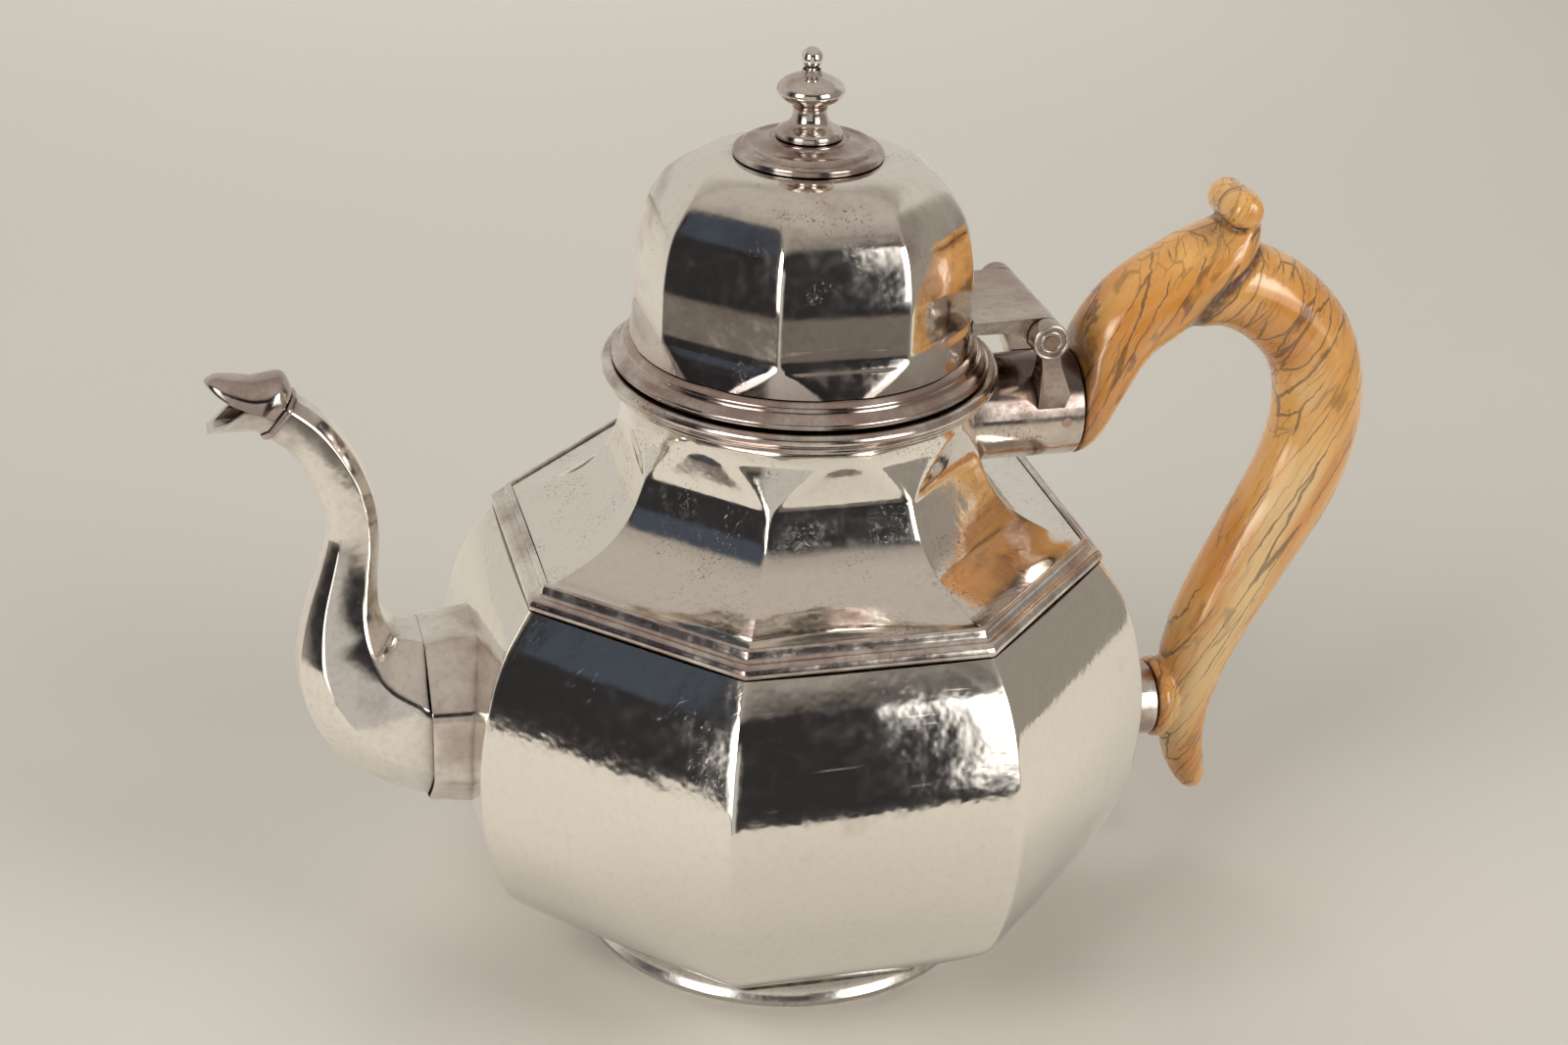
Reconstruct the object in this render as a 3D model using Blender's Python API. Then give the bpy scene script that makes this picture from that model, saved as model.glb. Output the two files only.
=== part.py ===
"""Octagonal silver teapot: domed lid on a hinge, swan-neck spout with an open bill, carved ivory handle.

Every outline is in millimetres about the pot's own axis, with the foot at height 0, the spout towards -X and
the handle towards +X. The flats of the octagon face the spout and the handle.
"""

import math

import bmesh
import bpy
from mathutils import Matrix, Vector

for old in list(bpy.data.objects):
    bpy.data.objects.remove(old, do_unlink=True)

MM = 0.001
EIGHTH = math.pi / 4

# ---------------------------------------------------------------- driving dimensions, mm
POT_AXIS_X = -3.4        # puts the middle of the whole length at x = 0
WALL = 0.9               # gauge of the raised silver
GAP = 0.15               # between pieces that touch
ROUND_STEPS = 48         # facets of turned pieces
BLEND_STEPS = 40         # facets of pieces that run from octagon to circle, a multiple of 8
PIN_STEPS = 24

HINGE_X, HINGE_Z = 40.0, 115.5
BARREL_R = 3.2
BARREL_HALF = 11.9       # the lid's barrel reaches this far each side
KNUCKLE_IN, KNUCKLE_OUT = 12.2, 15.2
HINGE_PIN_R = 1.1
RUNNING_BORE_R = 1.18    # the lid's barrel turns on the pin
FIXED_BORE_R = 1.15
LEG_LEAN = 3.6           # the legs stand further back on the socket than the knuckles

MOUTH_R, RIM_R = 28.8, 34.25     # inside and outside of the rim ring
BEZEL_R = 28.1
BEZEL_BOTTOM, BEZEL_TOP = 106.4, 109.75
STUD_R = 1.2
STUD_BORE_R = 1.35

UPPER_Z = 97.5           # axis of the upper socket
UPPER_R, UPPER_END_X = 9.4, 50.0
UPPER_ROOT_X, UPPER_FLOOR_X = 26.0, 32.5
LOWER_Z = 34.0           # axis of the lower socket
LOWER_R, LOWER_END_X = 7.0, 71.4
LOWER_ROOT_X, LOWER_FLOOR_X = 56.0, 61.5
EDGE_BREAK, LOWER_EDGE_BREAK = 0.3, 0.2    # chamfers at the mouths of the sockets
TENON_CLEARANCE = 0.2
CROSS_PIN_R = 0.9
CROSS_BORE_R = 1.0

# ---------------------------------------------------------------- outlines: (corner radius, height, roundness)
BOWL = [
    (0, 4.6, 0), (36.6, 4.6, 0), (39.5, 5.1, 0), (42.0, 6.6, 0), (45.5, 9.1, 0), (50.0, 12.5, 0),
    (54.0, 15.5, 0), (57.2, 18.1, 0), (59.4, 20.5, 0), (60.9, 23.2, 0), (62.1, 26.5, 0), (63.4, 31.0, 0),
    (64.4, 37.0, 0), (64.8, 45.5, 0), (64.3, 52.0, 0), (63.2, 57.8, 0), (61.8, 63.2, 0), (59.5, 68.6, 0),
    (57.0, 72.5, 0), (54.8, 75.6, 0),
]
SHOULDER = [
    (51.0, 79.45, 0), (48.6, 79.8, 0), (45.6, 80.7, 0), (42.3, 82.0, 0), (39.2, 83.7, 0), (36.5, 86.1, 0),
    (34.2, 89.3, 0), (32.4, 93.2, 0), (31.75, 95.1, 0.1), (31.2, 97.1, 0.35), (30.7, 100.4, 0.75),
    (30.6, 102.6, 1), (30.9, 104.4, 1), (31.3, 105.5, 1),
]
GIRDLE = [
    (51.15, 78.3, 0), (51.15, 79.65, 0), (51.7, 79.85, 0), (52.2, 79.5, 0), (52.5, 78.6, 0), (53.1, 78.0, 0),
    (53.7, 78.05, 0), (54.4, 77.7, 0), (54.9, 76.9, 0), (54.9, 76.2, 0), (54.4, 75.8, 0), (51.9, 76.4, 0),
]
RIM = [
    (MOUTH_R, 105.65, 1), (MOUTH_R, 109.2, 1), (29.1, 109.45, 1), (33.2, 109.45, 1), (33.9, 109.15, 1),
    (RIM_R, 108.4, 1), (34.0, 107.6, 1), (33.3, 107.15, 1), (32.9, 106.7, 1), (32.95, 106.1, 1),
    (32.3, 105.7, 1),
]
FOOT = [
    (34.8, 0, 1), (37.8, 0, 1), (37.8, 0.9, 1), (37.2, 1.7, 1), (36.8, 2.8, 1), (37.0, 4.4, 1), (34.8, 4.4, 1),
]
DOME = [
    (29.4, 113.9, 0.9), (29.3, 115.5, 0.7), (29.2, 117.4, 0.35), (29.1, 119.4, 0), (29.0, 124.5, 0),
    (28.9, 128.0, 0), (28.3, 132.3, 0), (27.3, 135.9, 0), (25.7, 139.0, 0), (23.7, 141.7, 0.1),
    (21.0, 143.4, 0.5), (17.6, 144.8, 1), (13.0, 145.6, 1), (7.0, 146.0, 1), (STUD_BORE_R, 146.1, 1),
]
FLANGE = [
    (27.9, 109.9, 1), (32.0, 109.9, 1), (32.35, 110.3, 1), (32.3, 110.8, 1), (31.7, 111.3, 1),
    (31.0, 111.7, 1), (30.6, 112.3, 1), (30.55, 112.9, 1), (30.1, 113.4, 1), (29.5, 113.7, 1), (27.9, 113.7, 1),
]
BEZEL = [
    (BEZEL_R - 0.8, BEZEL_BOTTOM, 1), (BEZEL_R - 0.25, BEZEL_BOTTOM, 1), (BEZEL_R, BEZEL_BOTTOM + 0.4, 1),
    (BEZEL_R, BEZEL_TOP, 1), (BEZEL_R - 0.8, BEZEL_TOP, 1),
]
FINIAL_PLATE = [
    (STUD_BORE_R, 146.3, 1), (8.0, 146.15, 1), (12.2, 145.8, 1), (12.6, 146.2, 1), (12.5, 146.8, 1),
    (11.9, 147.15, 1), (11.4, 147.2, 1), (11.0, 147.75, 1), (10.4, 147.95, 1), (9.6, 147.65, 1),
    (8.0, 147.8, 1), (6.6, 148.3, 1), (5.9, 148.75, 1), (STUD_BORE_R, 148.75, 1),
]
FINIAL_KNOB = [
    (STUD_BORE_R, 148.9, 1), (5.2, 148.9, 1), (5.6, 149.45, 1), (5.4, 150.1, 1), (4.5, 150.7, 1),
    (3.5, 151.3, 1), (2.95, 152.4, 1), (2.9, 153.6, 1), (3.3, 154.6, 1), (4.6, 155.3, 1), (5.5, 156.2, 1),
    (5.65, 157.1, 1), (5.1, 158.0, 1), (3.6, 158.9, 1), (2.0, 159.4, 1), (STUD_BORE_R, 159.5, 1),
]
WASHER = [(STUD_BORE_R, 144.4, 1), (3.4, 144.4, 1), (3.4, 144.95, 1), (STUD_BORE_R, 144.95, 1)]
NUT_BOTTOM, NUT_TOP, NUT_R = 142.7, 144.25, 2.6
STUD_BOTTOM, STUD_TOP = 141.8, 159.7
BALL_Z, BALL_R = 162.2, 1.87

# ---------------------------------------------------------------- routes: (x, height, heading, radius)
# Heading is the angle of travel from straight up towards the spout side, in degrees. The spout's fifth value
# is its breadth, which widens the two side faces of its octagon: 0 is regular.
SPOUT = [
    (-56.0, 46.9, 88, 16.2, 0), (-62.0, 47.0, 86, 15.9, 0), (-66.5, 47.3, 83, 15.5, 0),
    (-69.8, 48.9, 74, 15.0, 0), (-73.4, 51.1, 62, 14.1, 0.1), (-76.3, 53.7, 50, 12.9, 0.2),
    (-78.4, 57.0, 37, 11.4, 0.35), (-79.7, 61.2, 22, 9.6, 0.5), (-79.9, 65.5, 9, 7.8, 0.7),
    (-79.5, 70.3, -3, 6.35, 0.9), (-78.4, 76.2, -7, 5.3, 1), (-77.5, 82.2, 3, 4.75, 1),
    (-77.9, 88.2, 17, 4.6, 1), (-80.1, 94.8, 30, 4.55, 1), (-84.1, 101.3, 45, 4.45, 1),
    (-89.4, 105.8, 53, 4.4, 1), (-92.6, 107.2, 70, 4.55, 1), (-96.2, 107.6, 87, 4.8, 1),
    (-100.4, 107.65, 90, 4.8, 1),
]
SPOUT_CORNERS = ((22.5, 67.5), (24.0, 58.0))   # where the corners stand at breadth 0 and 1, degrees
BILL_CUT = [
    (-102.0, 103.35), (-100.2, 103.45), (-98.6, 104.4), (-97.0, 105.5), (-93.6, 107.9), (-91.4, 107.9),
    (-90.2, 107.3), (-86.2, 111.9), (-86.2, 117.0), (-102.0, 117.0),
]
# The hood is arched over these stations: side point, crest point, half width.
HOOD = [
    ((-89.75, 106.25), (-86.35, 109.9), 5.05), ((-90.3, 106.75), (-86.95, 111.5), 5.2),
    ((-91.0, 107.1), (-88.1, 112.45), 5.35), ((-92.1, 107.45), (-90.6, 112.15), 5.35),
    ((-93.9, 108.05), (-93.1, 111.9), 5.0), ((-96.2, 108.95), (-95.8, 112.35), 4.4),
    ((-98.1, 110.1), (-98.2, 112.65), 3.5), ((-99.5, 111.2), (-99.7, 112.35), 2.2),
    ((-100.2, 111.65), (-100.35, 111.95), 0.9),
]
HOOD_WALL = 0.75
NECK_BAND = (-88.75, 105.3, 51.5)
COLLAR_Z = 47.0

HANDLE_START_X = UPPER_FLOOR_X + 0.4
HANDLE = [
    (50.35, 97.6, -90, 9.5), (51.8, 99.15, -82, 10.1), (53.2, 101.7, -76, 10.25), (55.0, 105.1, -71, 9.75),
    (57.0, 108.6, -68, 9.2), (59.4, 112.1, -67, 8.65), (62.4, 114.9, -71, 8.5), (66.4, 117.0, -77, 8.5),
    (70.5, 118.5, -84, 8.6), (74.5, 119.1, -89, 8.7), (78.2, 118.8, -97, 8.45), (82.0, 117.4, -112, 8.15),
    (86.5, 115.1, -122, 8.2), (91.0, 111.6, -134, 8.25), (94.9, 107.1, -145, 8.25), (97.6, 101.4, -160, 8.3),
    (98.8, 95.1, -174, 8.35), (98.7, 88.4, -186, 8.35), (97.3, 81.6, -197, 8.4), (94.5, 74.3, -205, 8.3),
    (90.4, 66.1, -207, 8.1), (86.2, 57.6, -204, 7.8), (82.6, 49.4, -198, 7.3), (80.2, 41.2, -190, 6.5),
    (79.2, 33.0, -182, 5.4), (79.6, 26.0, -174, 4.5), (81.0, 19.8, -166, 3.8), (82.9, 15.0, -158, 2.7),
    (83.8, 13.2, -155, 1.5),
]
HANDLE_BREADTH = 0.94    # the handle is a little narrower sideways than in its own plane
SCROLL = [
    (70.0, 124.0), (74.6, 128.6), (76.4, 130.6), (75.4, 131.6), (74.9, 133.4), (75.6, 135.4), (77.4, 136.5),
    (79.6, 136.2), (81.4, 134.8), (82.5, 132.2), (82.8, 128.9), (82.2, 125.5), (79.5, 119.0), (74.0, 119.0),
]
SCROLL_CENTRE = (78.0, 129.0)
SCROLL_HALF = 5.6
BOSS_R, BOSS_START_X = 7.85, 71.7
BOSS_STEPS = [(0, -0.5), (0.6, 0), (1.9, 0), (2.5, -0.6)]    # (past its start, over its radius)
PEG_START_X = 62.0
BOSS_CORE_X, BOSS_CORE_R = 77.2, 4.0
HANDLE_STEPS = 16

# ---------------------------------------------------------------- hinge
LEG = [
    (15.0, 114.2), (12.35, 114.2), (12.35, 111.4), (8.6, 108.0), (5.6, 105.6), (5.0, 102.0), (8.6, 99.5),
    (11.2, 103.6), (15.0, 110.6),
]
LEG_TOP_Z = 112.0                  # the leg leans back and thickens below this height
LEG_FALL = 8.0
LEG_HALF, LEG_SPREAD = 1.6, 0.8    # half its thickness at the top, and how much more at the foot
LEAF_ROOT_X = 25.0
LEAF_TOP = [(38.2, 118.65), (LEAF_ROOT_X, 118.35)]
LEAF_UNDER = [(LEAF_ROOT_X, 116.2), (33.8, 116.2), (35.6, 115.7), (36.5, 114.9)]
BARREL_ARC = (200, 250)            # where the barrel's visible arc starts, and its sweep, in degrees
BARREL_ARC_STEPS = 14

STRAINER = [(0, 0)] + [(5.0 * math.cos(k * EIGHTH), 5.0 * math.sin(k * EIGHTH)) for k in range(8)]
STRAINER_R, STRAINER_Z = 1.3, 50.0
STRAINER_X = (-66, -54)


# ---------------------------------------------------------------- materials
def principled(name, colour, metallic, roughness):
    material = bpy.data.materials.new(name)
    material.use_nodes = True
    shader = material.node_tree.nodes["Principled BSDF"]
    shader.inputs["Base Color"].default_value = (*colour, 1)
    shader.inputs["Metallic"].default_value = metallic
    shader.inputs["Roughness"].default_value = roughness
    return material


def silver(name, tarnish=0.0):
    """Polished silver, warmer, darker and duller as it tarnishes."""
    colour = (0.86 - 0.3 * tarnish, 0.84 - 0.34 * tarnish, 0.80 - 0.36 * tarnish)
    return principled(name, colour, 1.0, 0.12 + 0.25 * tarnish)


# ---------------------------------------------------------------- mesh helpers
def finished(name, mesh, material, smooth_angle=30):
    """Turns a bmesh into a named object in the scene, facing out and smooth below the given angle."""
    bmesh.ops.recalc_face_normals(mesh, faces=mesh.faces)
    data = bpy.data.meshes.new(name)
    mesh.to_mesh(data)
    mesh.free()
    data.shade_smooth()
    data.set_sharp_from_angle(angle=math.radians(smooth_angle))
    made = bpy.data.objects.new(name, data)
    bpy.context.scene.collection.objects.link(made)
    if material:
        data.materials.append(material)
    return made


def bridge(mesh, low, high):
    """Faces between two rings of vertices; either may be a single point."""
    count = max(len(low), len(high))
    for k in range(count):
        corners = [low[k % len(low)], low[(k + 1) % len(low)], high[(k + 1) % len(high)], high[k % len(high)]]
        distinct = list(dict.fromkeys(corners))
        mesh.faces.new(distinct)


def skin(mesh, rings, close=False, caps=False):
    """Vertices for each ring of points, joined in order; caps fills both ends, close joins last to first."""
    made = [[mesh.verts.new(point) for point in ring] for ring in rings]
    for low, high in zip(made, made[1:]):
        bridge(mesh, low, high)
    if close:
        bridge(mesh, made[-1], made[0])
    if caps:
        mesh.faces.new(made[0])
        mesh.faces.new(made[-1])
    return made


def blended_radius(corner, roundness, angle):
    """Radius at an angle of an octagon with this corner radius, blended towards its outer circle."""
    from_flat = (angle + EIGHTH / 2) % EIGHTH - EIGHTH / 2
    flat = corner * math.cos(EIGHTH / 2) / math.cos(from_flat)
    return flat + (corner - flat) * roundness


def level_ring(corner, height, roundness, steps):
    if corner == 0:
        return [Vector((0, 0, height)) * MM]
    ring = []
    for k in range(steps):
        angle = EIGHTH / 2 + k * math.tau / steps
        radius = blended_radius(corner, roundness, angle)
        ring.append(Vector((radius * math.cos(angle), radius * math.sin(angle), height)) * MM)
    return ring


def level_rings(outline, steps):
    return [level_ring(corner, height, roundness, steps) for corner, height, roundness in outline]


def moved_in(outline, depth):
    """The outline moved inwards by a depth square to itself, for the inside of a shell."""
    moved = []
    for k, (corner, height, roundness) in enumerate(outline):
        before = outline[max(k - 1, 0)]
        after = outline[min(k + 1, len(outline) - 1)]
        along = Vector((after[0] - before[0], after[1] - before[1])).normalized()
        stretch = 1 + (1 / math.cos(EIGHTH / 2) - 1) * (1 - roundness)
        inner = corner - depth * along.y * stretch if corner else 0
        moved.append((max(inner, 0), height + depth * along.x, roundness))
    return moved


def turned_ring(name, outline, steps, material):
    """A closed ring, such as a moulding, from the outline of its section."""
    mesh = bmesh.new()
    skin(mesh, level_rings(outline, steps), close=True)
    return finished(name, mesh, material)


def section_ring(x, height, heading, radius, steps, width=1.0):
    """A ring of points square to a route in the XZ plane; flats face up, down and sideways when steps is 8."""
    turn = math.radians(heading)
    across = Vector((math.cos(turn), 0, math.sin(turn)))
    side = Vector((0, width, 0))
    centre = Vector((x, 0, height))
    ring = []
    for k in range(steps):
        angle = (k + 0.5) * math.tau / steps
        ring.append((centre + radius * (across * math.cos(angle) + side * math.sin(angle))) * MM)
    return ring


def between(stations, parts):
    """Stations of a smooth route through the given ones, with this many parts to each span."""
    smooth = []
    for k in range(len(stations) - 1):
        p0 = stations[max(k - 1, 0)]
        p1, p2 = stations[k], stations[k + 1]
        p3 = stations[min(k + 2, len(stations) - 1)]
        for part in range(parts):
            t = part / parts
            smooth.append(tuple(
                0.5 * (2 * b + (c - a) * t + (2 * a - 5 * b + 4 * c - d) * t * t + (3 * b - a - 3 * c + d) * t ** 3)
                for a, b, c, d in zip(p0, p1, p2, p3)
            ))
    smooth.append(stations[-1])
    return smooth


def bar(name, radius, start, end, steps, material=None):
    """A round bar between two points."""
    start, end = Vector(start) * MM, Vector(end) * MM
    mesh = bmesh.new()
    turn = Vector((0, 0, 1)).rotation_difference(end - start).to_matrix().to_4x4()
    place = Matrix.Translation((start + end) / 2) @ turn
    bmesh.ops.create_cone(
        mesh, cap_ends=True, segments=steps, radius1=radius * MM, radius2=radius * MM,
        depth=(end - start).length, matrix=place,
    )
    return finished(name, mesh, material)


def guide(made):
    """Marks an object as a cutter: drawn as wire and left out of the model."""
    made.hide_render = True
    made.display_type = "WIRE"
    return made


def cut(target, cutter, operation="DIFFERENCE"):
    step = target.modifiers.new(f"{operation.lower()} {cutter.name}", "BOOLEAN")
    step.operation = operation
    step.solver = "EXACT"
    step.object = cutter
    return target


def solid_guide(name, outline, steps, grow):
    """A cutter that fills an outline grown outwards by the gap."""
    grown = moved_in(outline, -grow)
    rings = level_rings(grown, steps)
    mesh = bmesh.new()
    skin(mesh, rings, caps=len(rings[0]) > 1)
    if len(rings[0]) == 1:
        mesh.faces.new([v for v in mesh.verts if abs(v.co.z - grown[-1][1] * MM) < 1e-7])
    return guide(finished(name, mesh, None))


# ---------------------------------------------------------------- body of the pot
def make_bowl():
    mesh = bmesh.new()
    inner = moved_in(BOWL, WALL)
    inner[-1] = (inner[-1][0], BOWL[-1][1], 0)
    skin(mesh, level_rings(BOWL + inner[::-1], 8))
    bowl = finished("lower_bowl", mesh, silver("bowl silver"), 20)
    for k, (side, rise) in enumerate(STRAINER):
        start, end = [(x, side, STRAINER_Z + rise) for x in STRAINER_X]
        cut(bowl, guide(bar(f"strainer_hole_{k}", STRAINER_R, start, end, 12)))
    return bowl


def make_shoulder():
    inner = moved_in(SHOULDER, WALL)
    inner[0] = (SHOULDER[0][0], inner[0][1], 0)
    inner[-1] = (inner[-1][0], SHOULDER[-1][1], 1)
    mesh = bmesh.new()
    skin(mesh, level_rings(SHOULDER + inner[::-1], BLEND_STEPS), close=True)
    return finished("shoulder_shell", mesh, silver("shoulder silver"), 20)


# ---------------------------------------------------------------- spout
def spout_ring(x, height, heading, radius, breadth):
    """An octagon square to the spout's route, with flats on top, underneath and at the sides."""
    turn = math.radians(heading)
    across = Vector((math.cos(turn), 0, math.sin(turn)))
    regular, broad = SPOUT_CORNERS
    angles = [low + (high - low) * breadth for low, high in zip(regular, broad)]
    ring = []
    for start, order in ((0, 1), (180, -1), (180, 1), (360, -1)):
        for angle in angles[::order]:
            bearing = math.radians(start + order * angle)
            reach = across * math.cos(bearing) + Vector((0, math.sin(bearing), 0))
            ring.append((Vector((x, 0, height)) + radius * reach) * MM)
    return ring


def spout_rings(stations, inset=0.0):
    return [spout_ring(x, z, heading, radius - inset, breadth) for x, z, heading, radius, breadth in stations]


def make_spout_guide():
    mesh = bmesh.new()
    skin(mesh, spout_rings(between(SPOUT, 2), -GAP), caps=True)
    return guide(finished("spout_guide", mesh, None))


def make_spout(body_guide):
    route = between(SPOUT, 2)
    mesh = bmesh.new()
    skin(mesh, spout_rings(route) + spout_rings(route, WALL)[::-1], close=True)
    spout = finished("spout_tube", mesh, silver("spout silver", 0.15), 25)
    cut(spout, body_guide)
    bill = bmesh.new()
    skin(bill, [[Vector((x, y, z)) * MM for x, z in BILL_CUT] for y in (-9, 9)], caps=True)
    return cut(spout, guide(finished("bill_guide", bill, None)))


def make_collar(body_guide, spout_guide):
    strap = [(-56.0, 17.9), (-60.6, 17.6), (-63.5, 17.15), (-66.0, 16.95), (-66.5, 16.75)]
    bore = [(-66.5, 16.35), (-63.0, 16.45), (-56.0, 16.6)]
    mesh = bmesh.new()
    skin(mesh, [section_ring(x, COLLAR_Z, 90, radius, 8) for x, radius in strap + bore], close=True)
    collar = cut(finished("spout_collar", mesh, silver("collar silver", 0.25)), body_guide)
    return cut(collar, spout_guide)


def make_neck_band():
    x, z, heading = NECK_BAND
    forward = Vector((-math.sin(math.radians(heading)), math.cos(math.radians(heading))))
    section = [(-0.5, 4.65), (-0.5, 4.85), (0.0, 4.95), (0.5, 4.85), (0.5, 4.6)]
    rings = []
    for along, radius in section:
        rings.append(spout_ring(x + forward.x * along, z + forward.y * along, heading, radius, 1))
    mesh = bmesh.new()
    skin(mesh, rings, close=True)
    return finished("spout_neck_band", mesh, silver("band silver", 0.4))


def hood_arch(side, crest, half, depth, steps=10):
    """An arch from one side point over the crest to the other, moved in by a depth."""
    foot = Vector((side[0], 0, side[1]))
    rise = Vector((crest[0] - side[0], 0, crest[1] - side[1]))
    height = max(rise.length - depth, 0.05)
    width = max(half - depth, 0.05)
    points = []
    for k in range(steps + 1):
        angle = math.pi * k / steps
        reach = math.copysign(abs(math.cos(angle)) ** 0.8, math.cos(angle))
        lift = rise.normalized() * height * math.sin(angle) ** 0.8
        points.append((foot + lift + Vector((0, width * reach, 0))) * MM)
    return points


def make_hood():
    mesh = bmesh.new()
    rings = []
    for side, crest, half in HOOD:
        depth = min(HOOD_WALL, 0.6 * half)
        rings.append(hood_arch(side, crest, half, 0) + hood_arch(side, crest, half, depth)[::-1])
    skin(mesh, rings, caps=True)
    return finished("spout_hood", mesh, silver("hood silver", 0.3), 40)


# ---------------------------------------------------------------- handle and sockets
def make_upper_socket(neck_guide, rim_guide):
    section = [
        (UPPER_ROOT_X, UPPER_R), (UPPER_END_X - EDGE_BREAK, UPPER_R), (UPPER_END_X, UPPER_R - EDGE_BREAK),
        (UPPER_END_X, UPPER_R - WALL), (UPPER_FLOOR_X, UPPER_R - WALL),
    ]
    rings = [section_ring(x, UPPER_Z, -90, radius, 32) for x, radius in section]
    mesh = bmesh.new()
    skin(mesh, rings, caps=True)
    socket = finished("upper_socket", mesh, silver("upper socket silver", 0.45))
    cut(socket, neck_guide)
    return cut(socket, rim_guide)


def make_lower_socket(body_guide):
    section = [
        (LOWER_ROOT_X, LOWER_R), (LOWER_END_X - LOWER_EDGE_BREAK, LOWER_R),
        (LOWER_END_X, LOWER_R - LOWER_EDGE_BREAK), (LOWER_END_X, LOWER_R - WALL), (LOWER_FLOOR_X, LOWER_R - WALL),
    ]
    rings = [section_ring(x, LOWER_Z, -90, radius, 24) for x, radius in section]
    mesh = bmesh.new()
    skin(mesh, rings, caps=True)
    return cut(finished("lower_socket", mesh, silver("lower socket silver", 0.45)), body_guide)


def make_scroll_guide():
    """The rolled thumbpiece, full in the middle and rounded over at its two ends."""
    centre = Vector(SCROLL_CENTRE)
    rings = []
    for y, scale in ((-1.0, 0.8), (-0.82, 0.95), (-0.5, 1), (0.5, 1), (0.82, 0.95), (1.0, 0.8)):
        ring = []
        for x, z in SCROLL:
            point = centre + (Vector((x, z)) - centre) * scale
            ring.append(Vector((point.x, y * SCROLL_HALF, point.y)) * MM)
        rings.append(ring)
    mesh = bmesh.new()
    skin(mesh, rings, caps=True)
    return guide(finished("scroll_guide", mesh, None))


def make_handle():
    tenon = UPPER_R - WALL - TENON_CLEARANCE
    rings = [
        section_ring(x, UPPER_Z, -90, radius, HANDLE_STEPS)
        for x, radius in ((HANDLE_START_X, tenon), (UPPER_END_X + GAP, tenon), (UPPER_END_X + GAP, UPPER_R))
    ]
    for x, z, heading, radius in between(HANDLE, 2):
        rings.append(section_ring(x, z, heading, radius, HANDLE_STEPS, HANDLE_BREADTH))
    mesh = bmesh.new()
    skin(mesh, rings, caps=True)
    ivory = principled("ivory", (0.72, 0.42, 0.14), 0.0, 0.28)
    handle = finished("handle", mesh, ivory, 40)
    cut(handle, make_scroll_guide(), "UNION")
    peg = LOWER_R - WALL - TENON_CLEARANCE
    section = [(PEG_START_X, peg), (BOSS_START_X, peg)]
    section += [(BOSS_START_X + along, BOSS_R + over) for along, over in BOSS_STEPS]
    section.append((BOSS_CORE_X, BOSS_CORE_R))
    boss = bmesh.new()
    skin(boss, [section_ring(x, LOWER_Z, -90, radius, 24) for x, radius in section], caps=True)
    cut(handle, guide(finished("boss_guide", boss, None)), "UNION")
    return handle


def make_cross_pin(name, x, z, reach, pierced):
    """A riveted pin across a socket and the ivory inside it."""
    bore = guide(bar(f"{name}_bore", CROSS_BORE_R, (x, -reach - 1, z), (x, reach + 1, z), PIN_STEPS))
    for piece in pierced:
        cut(piece, bore)
    return bar(name, CROSS_PIN_R, (x, -reach, z), (x, reach, z), PIN_STEPS, silver(f"{name} silver", 0.6))


# ---------------------------------------------------------------- hinge
def along_y(name, radius, half, steps=PIN_STEPS, material=None):
    return bar(name, radius, (HINGE_X, -half, HINGE_Z), (HINGE_X, half, HINGE_Z), steps, material)


def make_knuckle(name, side, socket_guide, bore):
    """A fixed knuckle on a leg that runs down and inwards to the socket."""
    start, end = (HINGE_X, side * KNUCKLE_IN, HINGE_Z), (HINGE_X, side * KNUCKLE_OUT, HINGE_Z)
    knuckle = bar(name, BARREL_R, start, end, PIN_STEPS, silver(f"{name} silver", 0.3))
    rings = []
    for facing in (-1, 1):
        ring = []
        for y, z in LEG:
            drop = min(max((LEG_TOP_Z - z) / LEG_FALL, 0), 1)
            x = HINGE_X + LEG_LEAN * drop + facing * (LEG_HALF + LEG_SPREAD * drop)
            ring.append(Vector((x, side * y, z)) * MM)
        rings.append(ring)
    leg = bmesh.new()
    skin(leg, rings, caps=True)
    leg_guide = guide(finished(f"{name}_leg", leg, None))
    cut(leg_guide, socket_guide)
    cut(knuckle, leg_guide, "UNION")
    return cut(knuckle, bore)


def make_leaf(dome_guide):
    """The lid's plate and barrel, with the hollow moulding that runs under the barrel."""
    outline = []
    start, sweep = BARREL_ARC
    for k in range(BARREL_ARC_STEPS + 1):
        angle = math.radians(start + sweep * k / BARREL_ARC_STEPS)
        outline.append((HINGE_X + BARREL_R * math.cos(angle), HINGE_Z + BARREL_R * math.sin(angle)))
    outline += LEAF_TOP + LEAF_UNDER
    mesh = bmesh.new()
    skin(mesh, [[Vector((x, y, z)) * MM for x, z in outline] for y in (-BARREL_HALF, BARREL_HALF)], caps=True)
    leaf = finished("hinge_leaf", mesh, silver("hinge silver", 0.35))
    cut(leaf, dome_guide)
    return cut(leaf, guide(along_y("barrel_bore", RUNNING_BORE_R, BARREL_HALF + 1)))


# ---------------------------------------------------------------- lid
def make_dome():
    inner = moved_in(DOME, WALL)
    inner[0] = (inner[0][0], DOME[0][1], 1)
    inner[-1] = (STUD_BORE_R, inner[-1][1], 1)
    mesh = bmesh.new()
    skin(mesh, level_rings(DOME + inner[::-1], BLEND_STEPS), close=True)
    return finished("lid_dome", mesh, silver("dome silver"), 20)


def make_nut():
    nut = bar("finial_nut", NUT_R, (0, 0, NUT_BOTTOM), (0, 0, NUT_TOP), 6, silver("nut silver", 0.5))
    bore = bar("nut_bore", STUD_BORE_R, (0, 0, NUT_BOTTOM - 1), (0, 0, NUT_TOP + 1), PIN_STEPS)
    return cut(nut, guide(bore))


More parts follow.
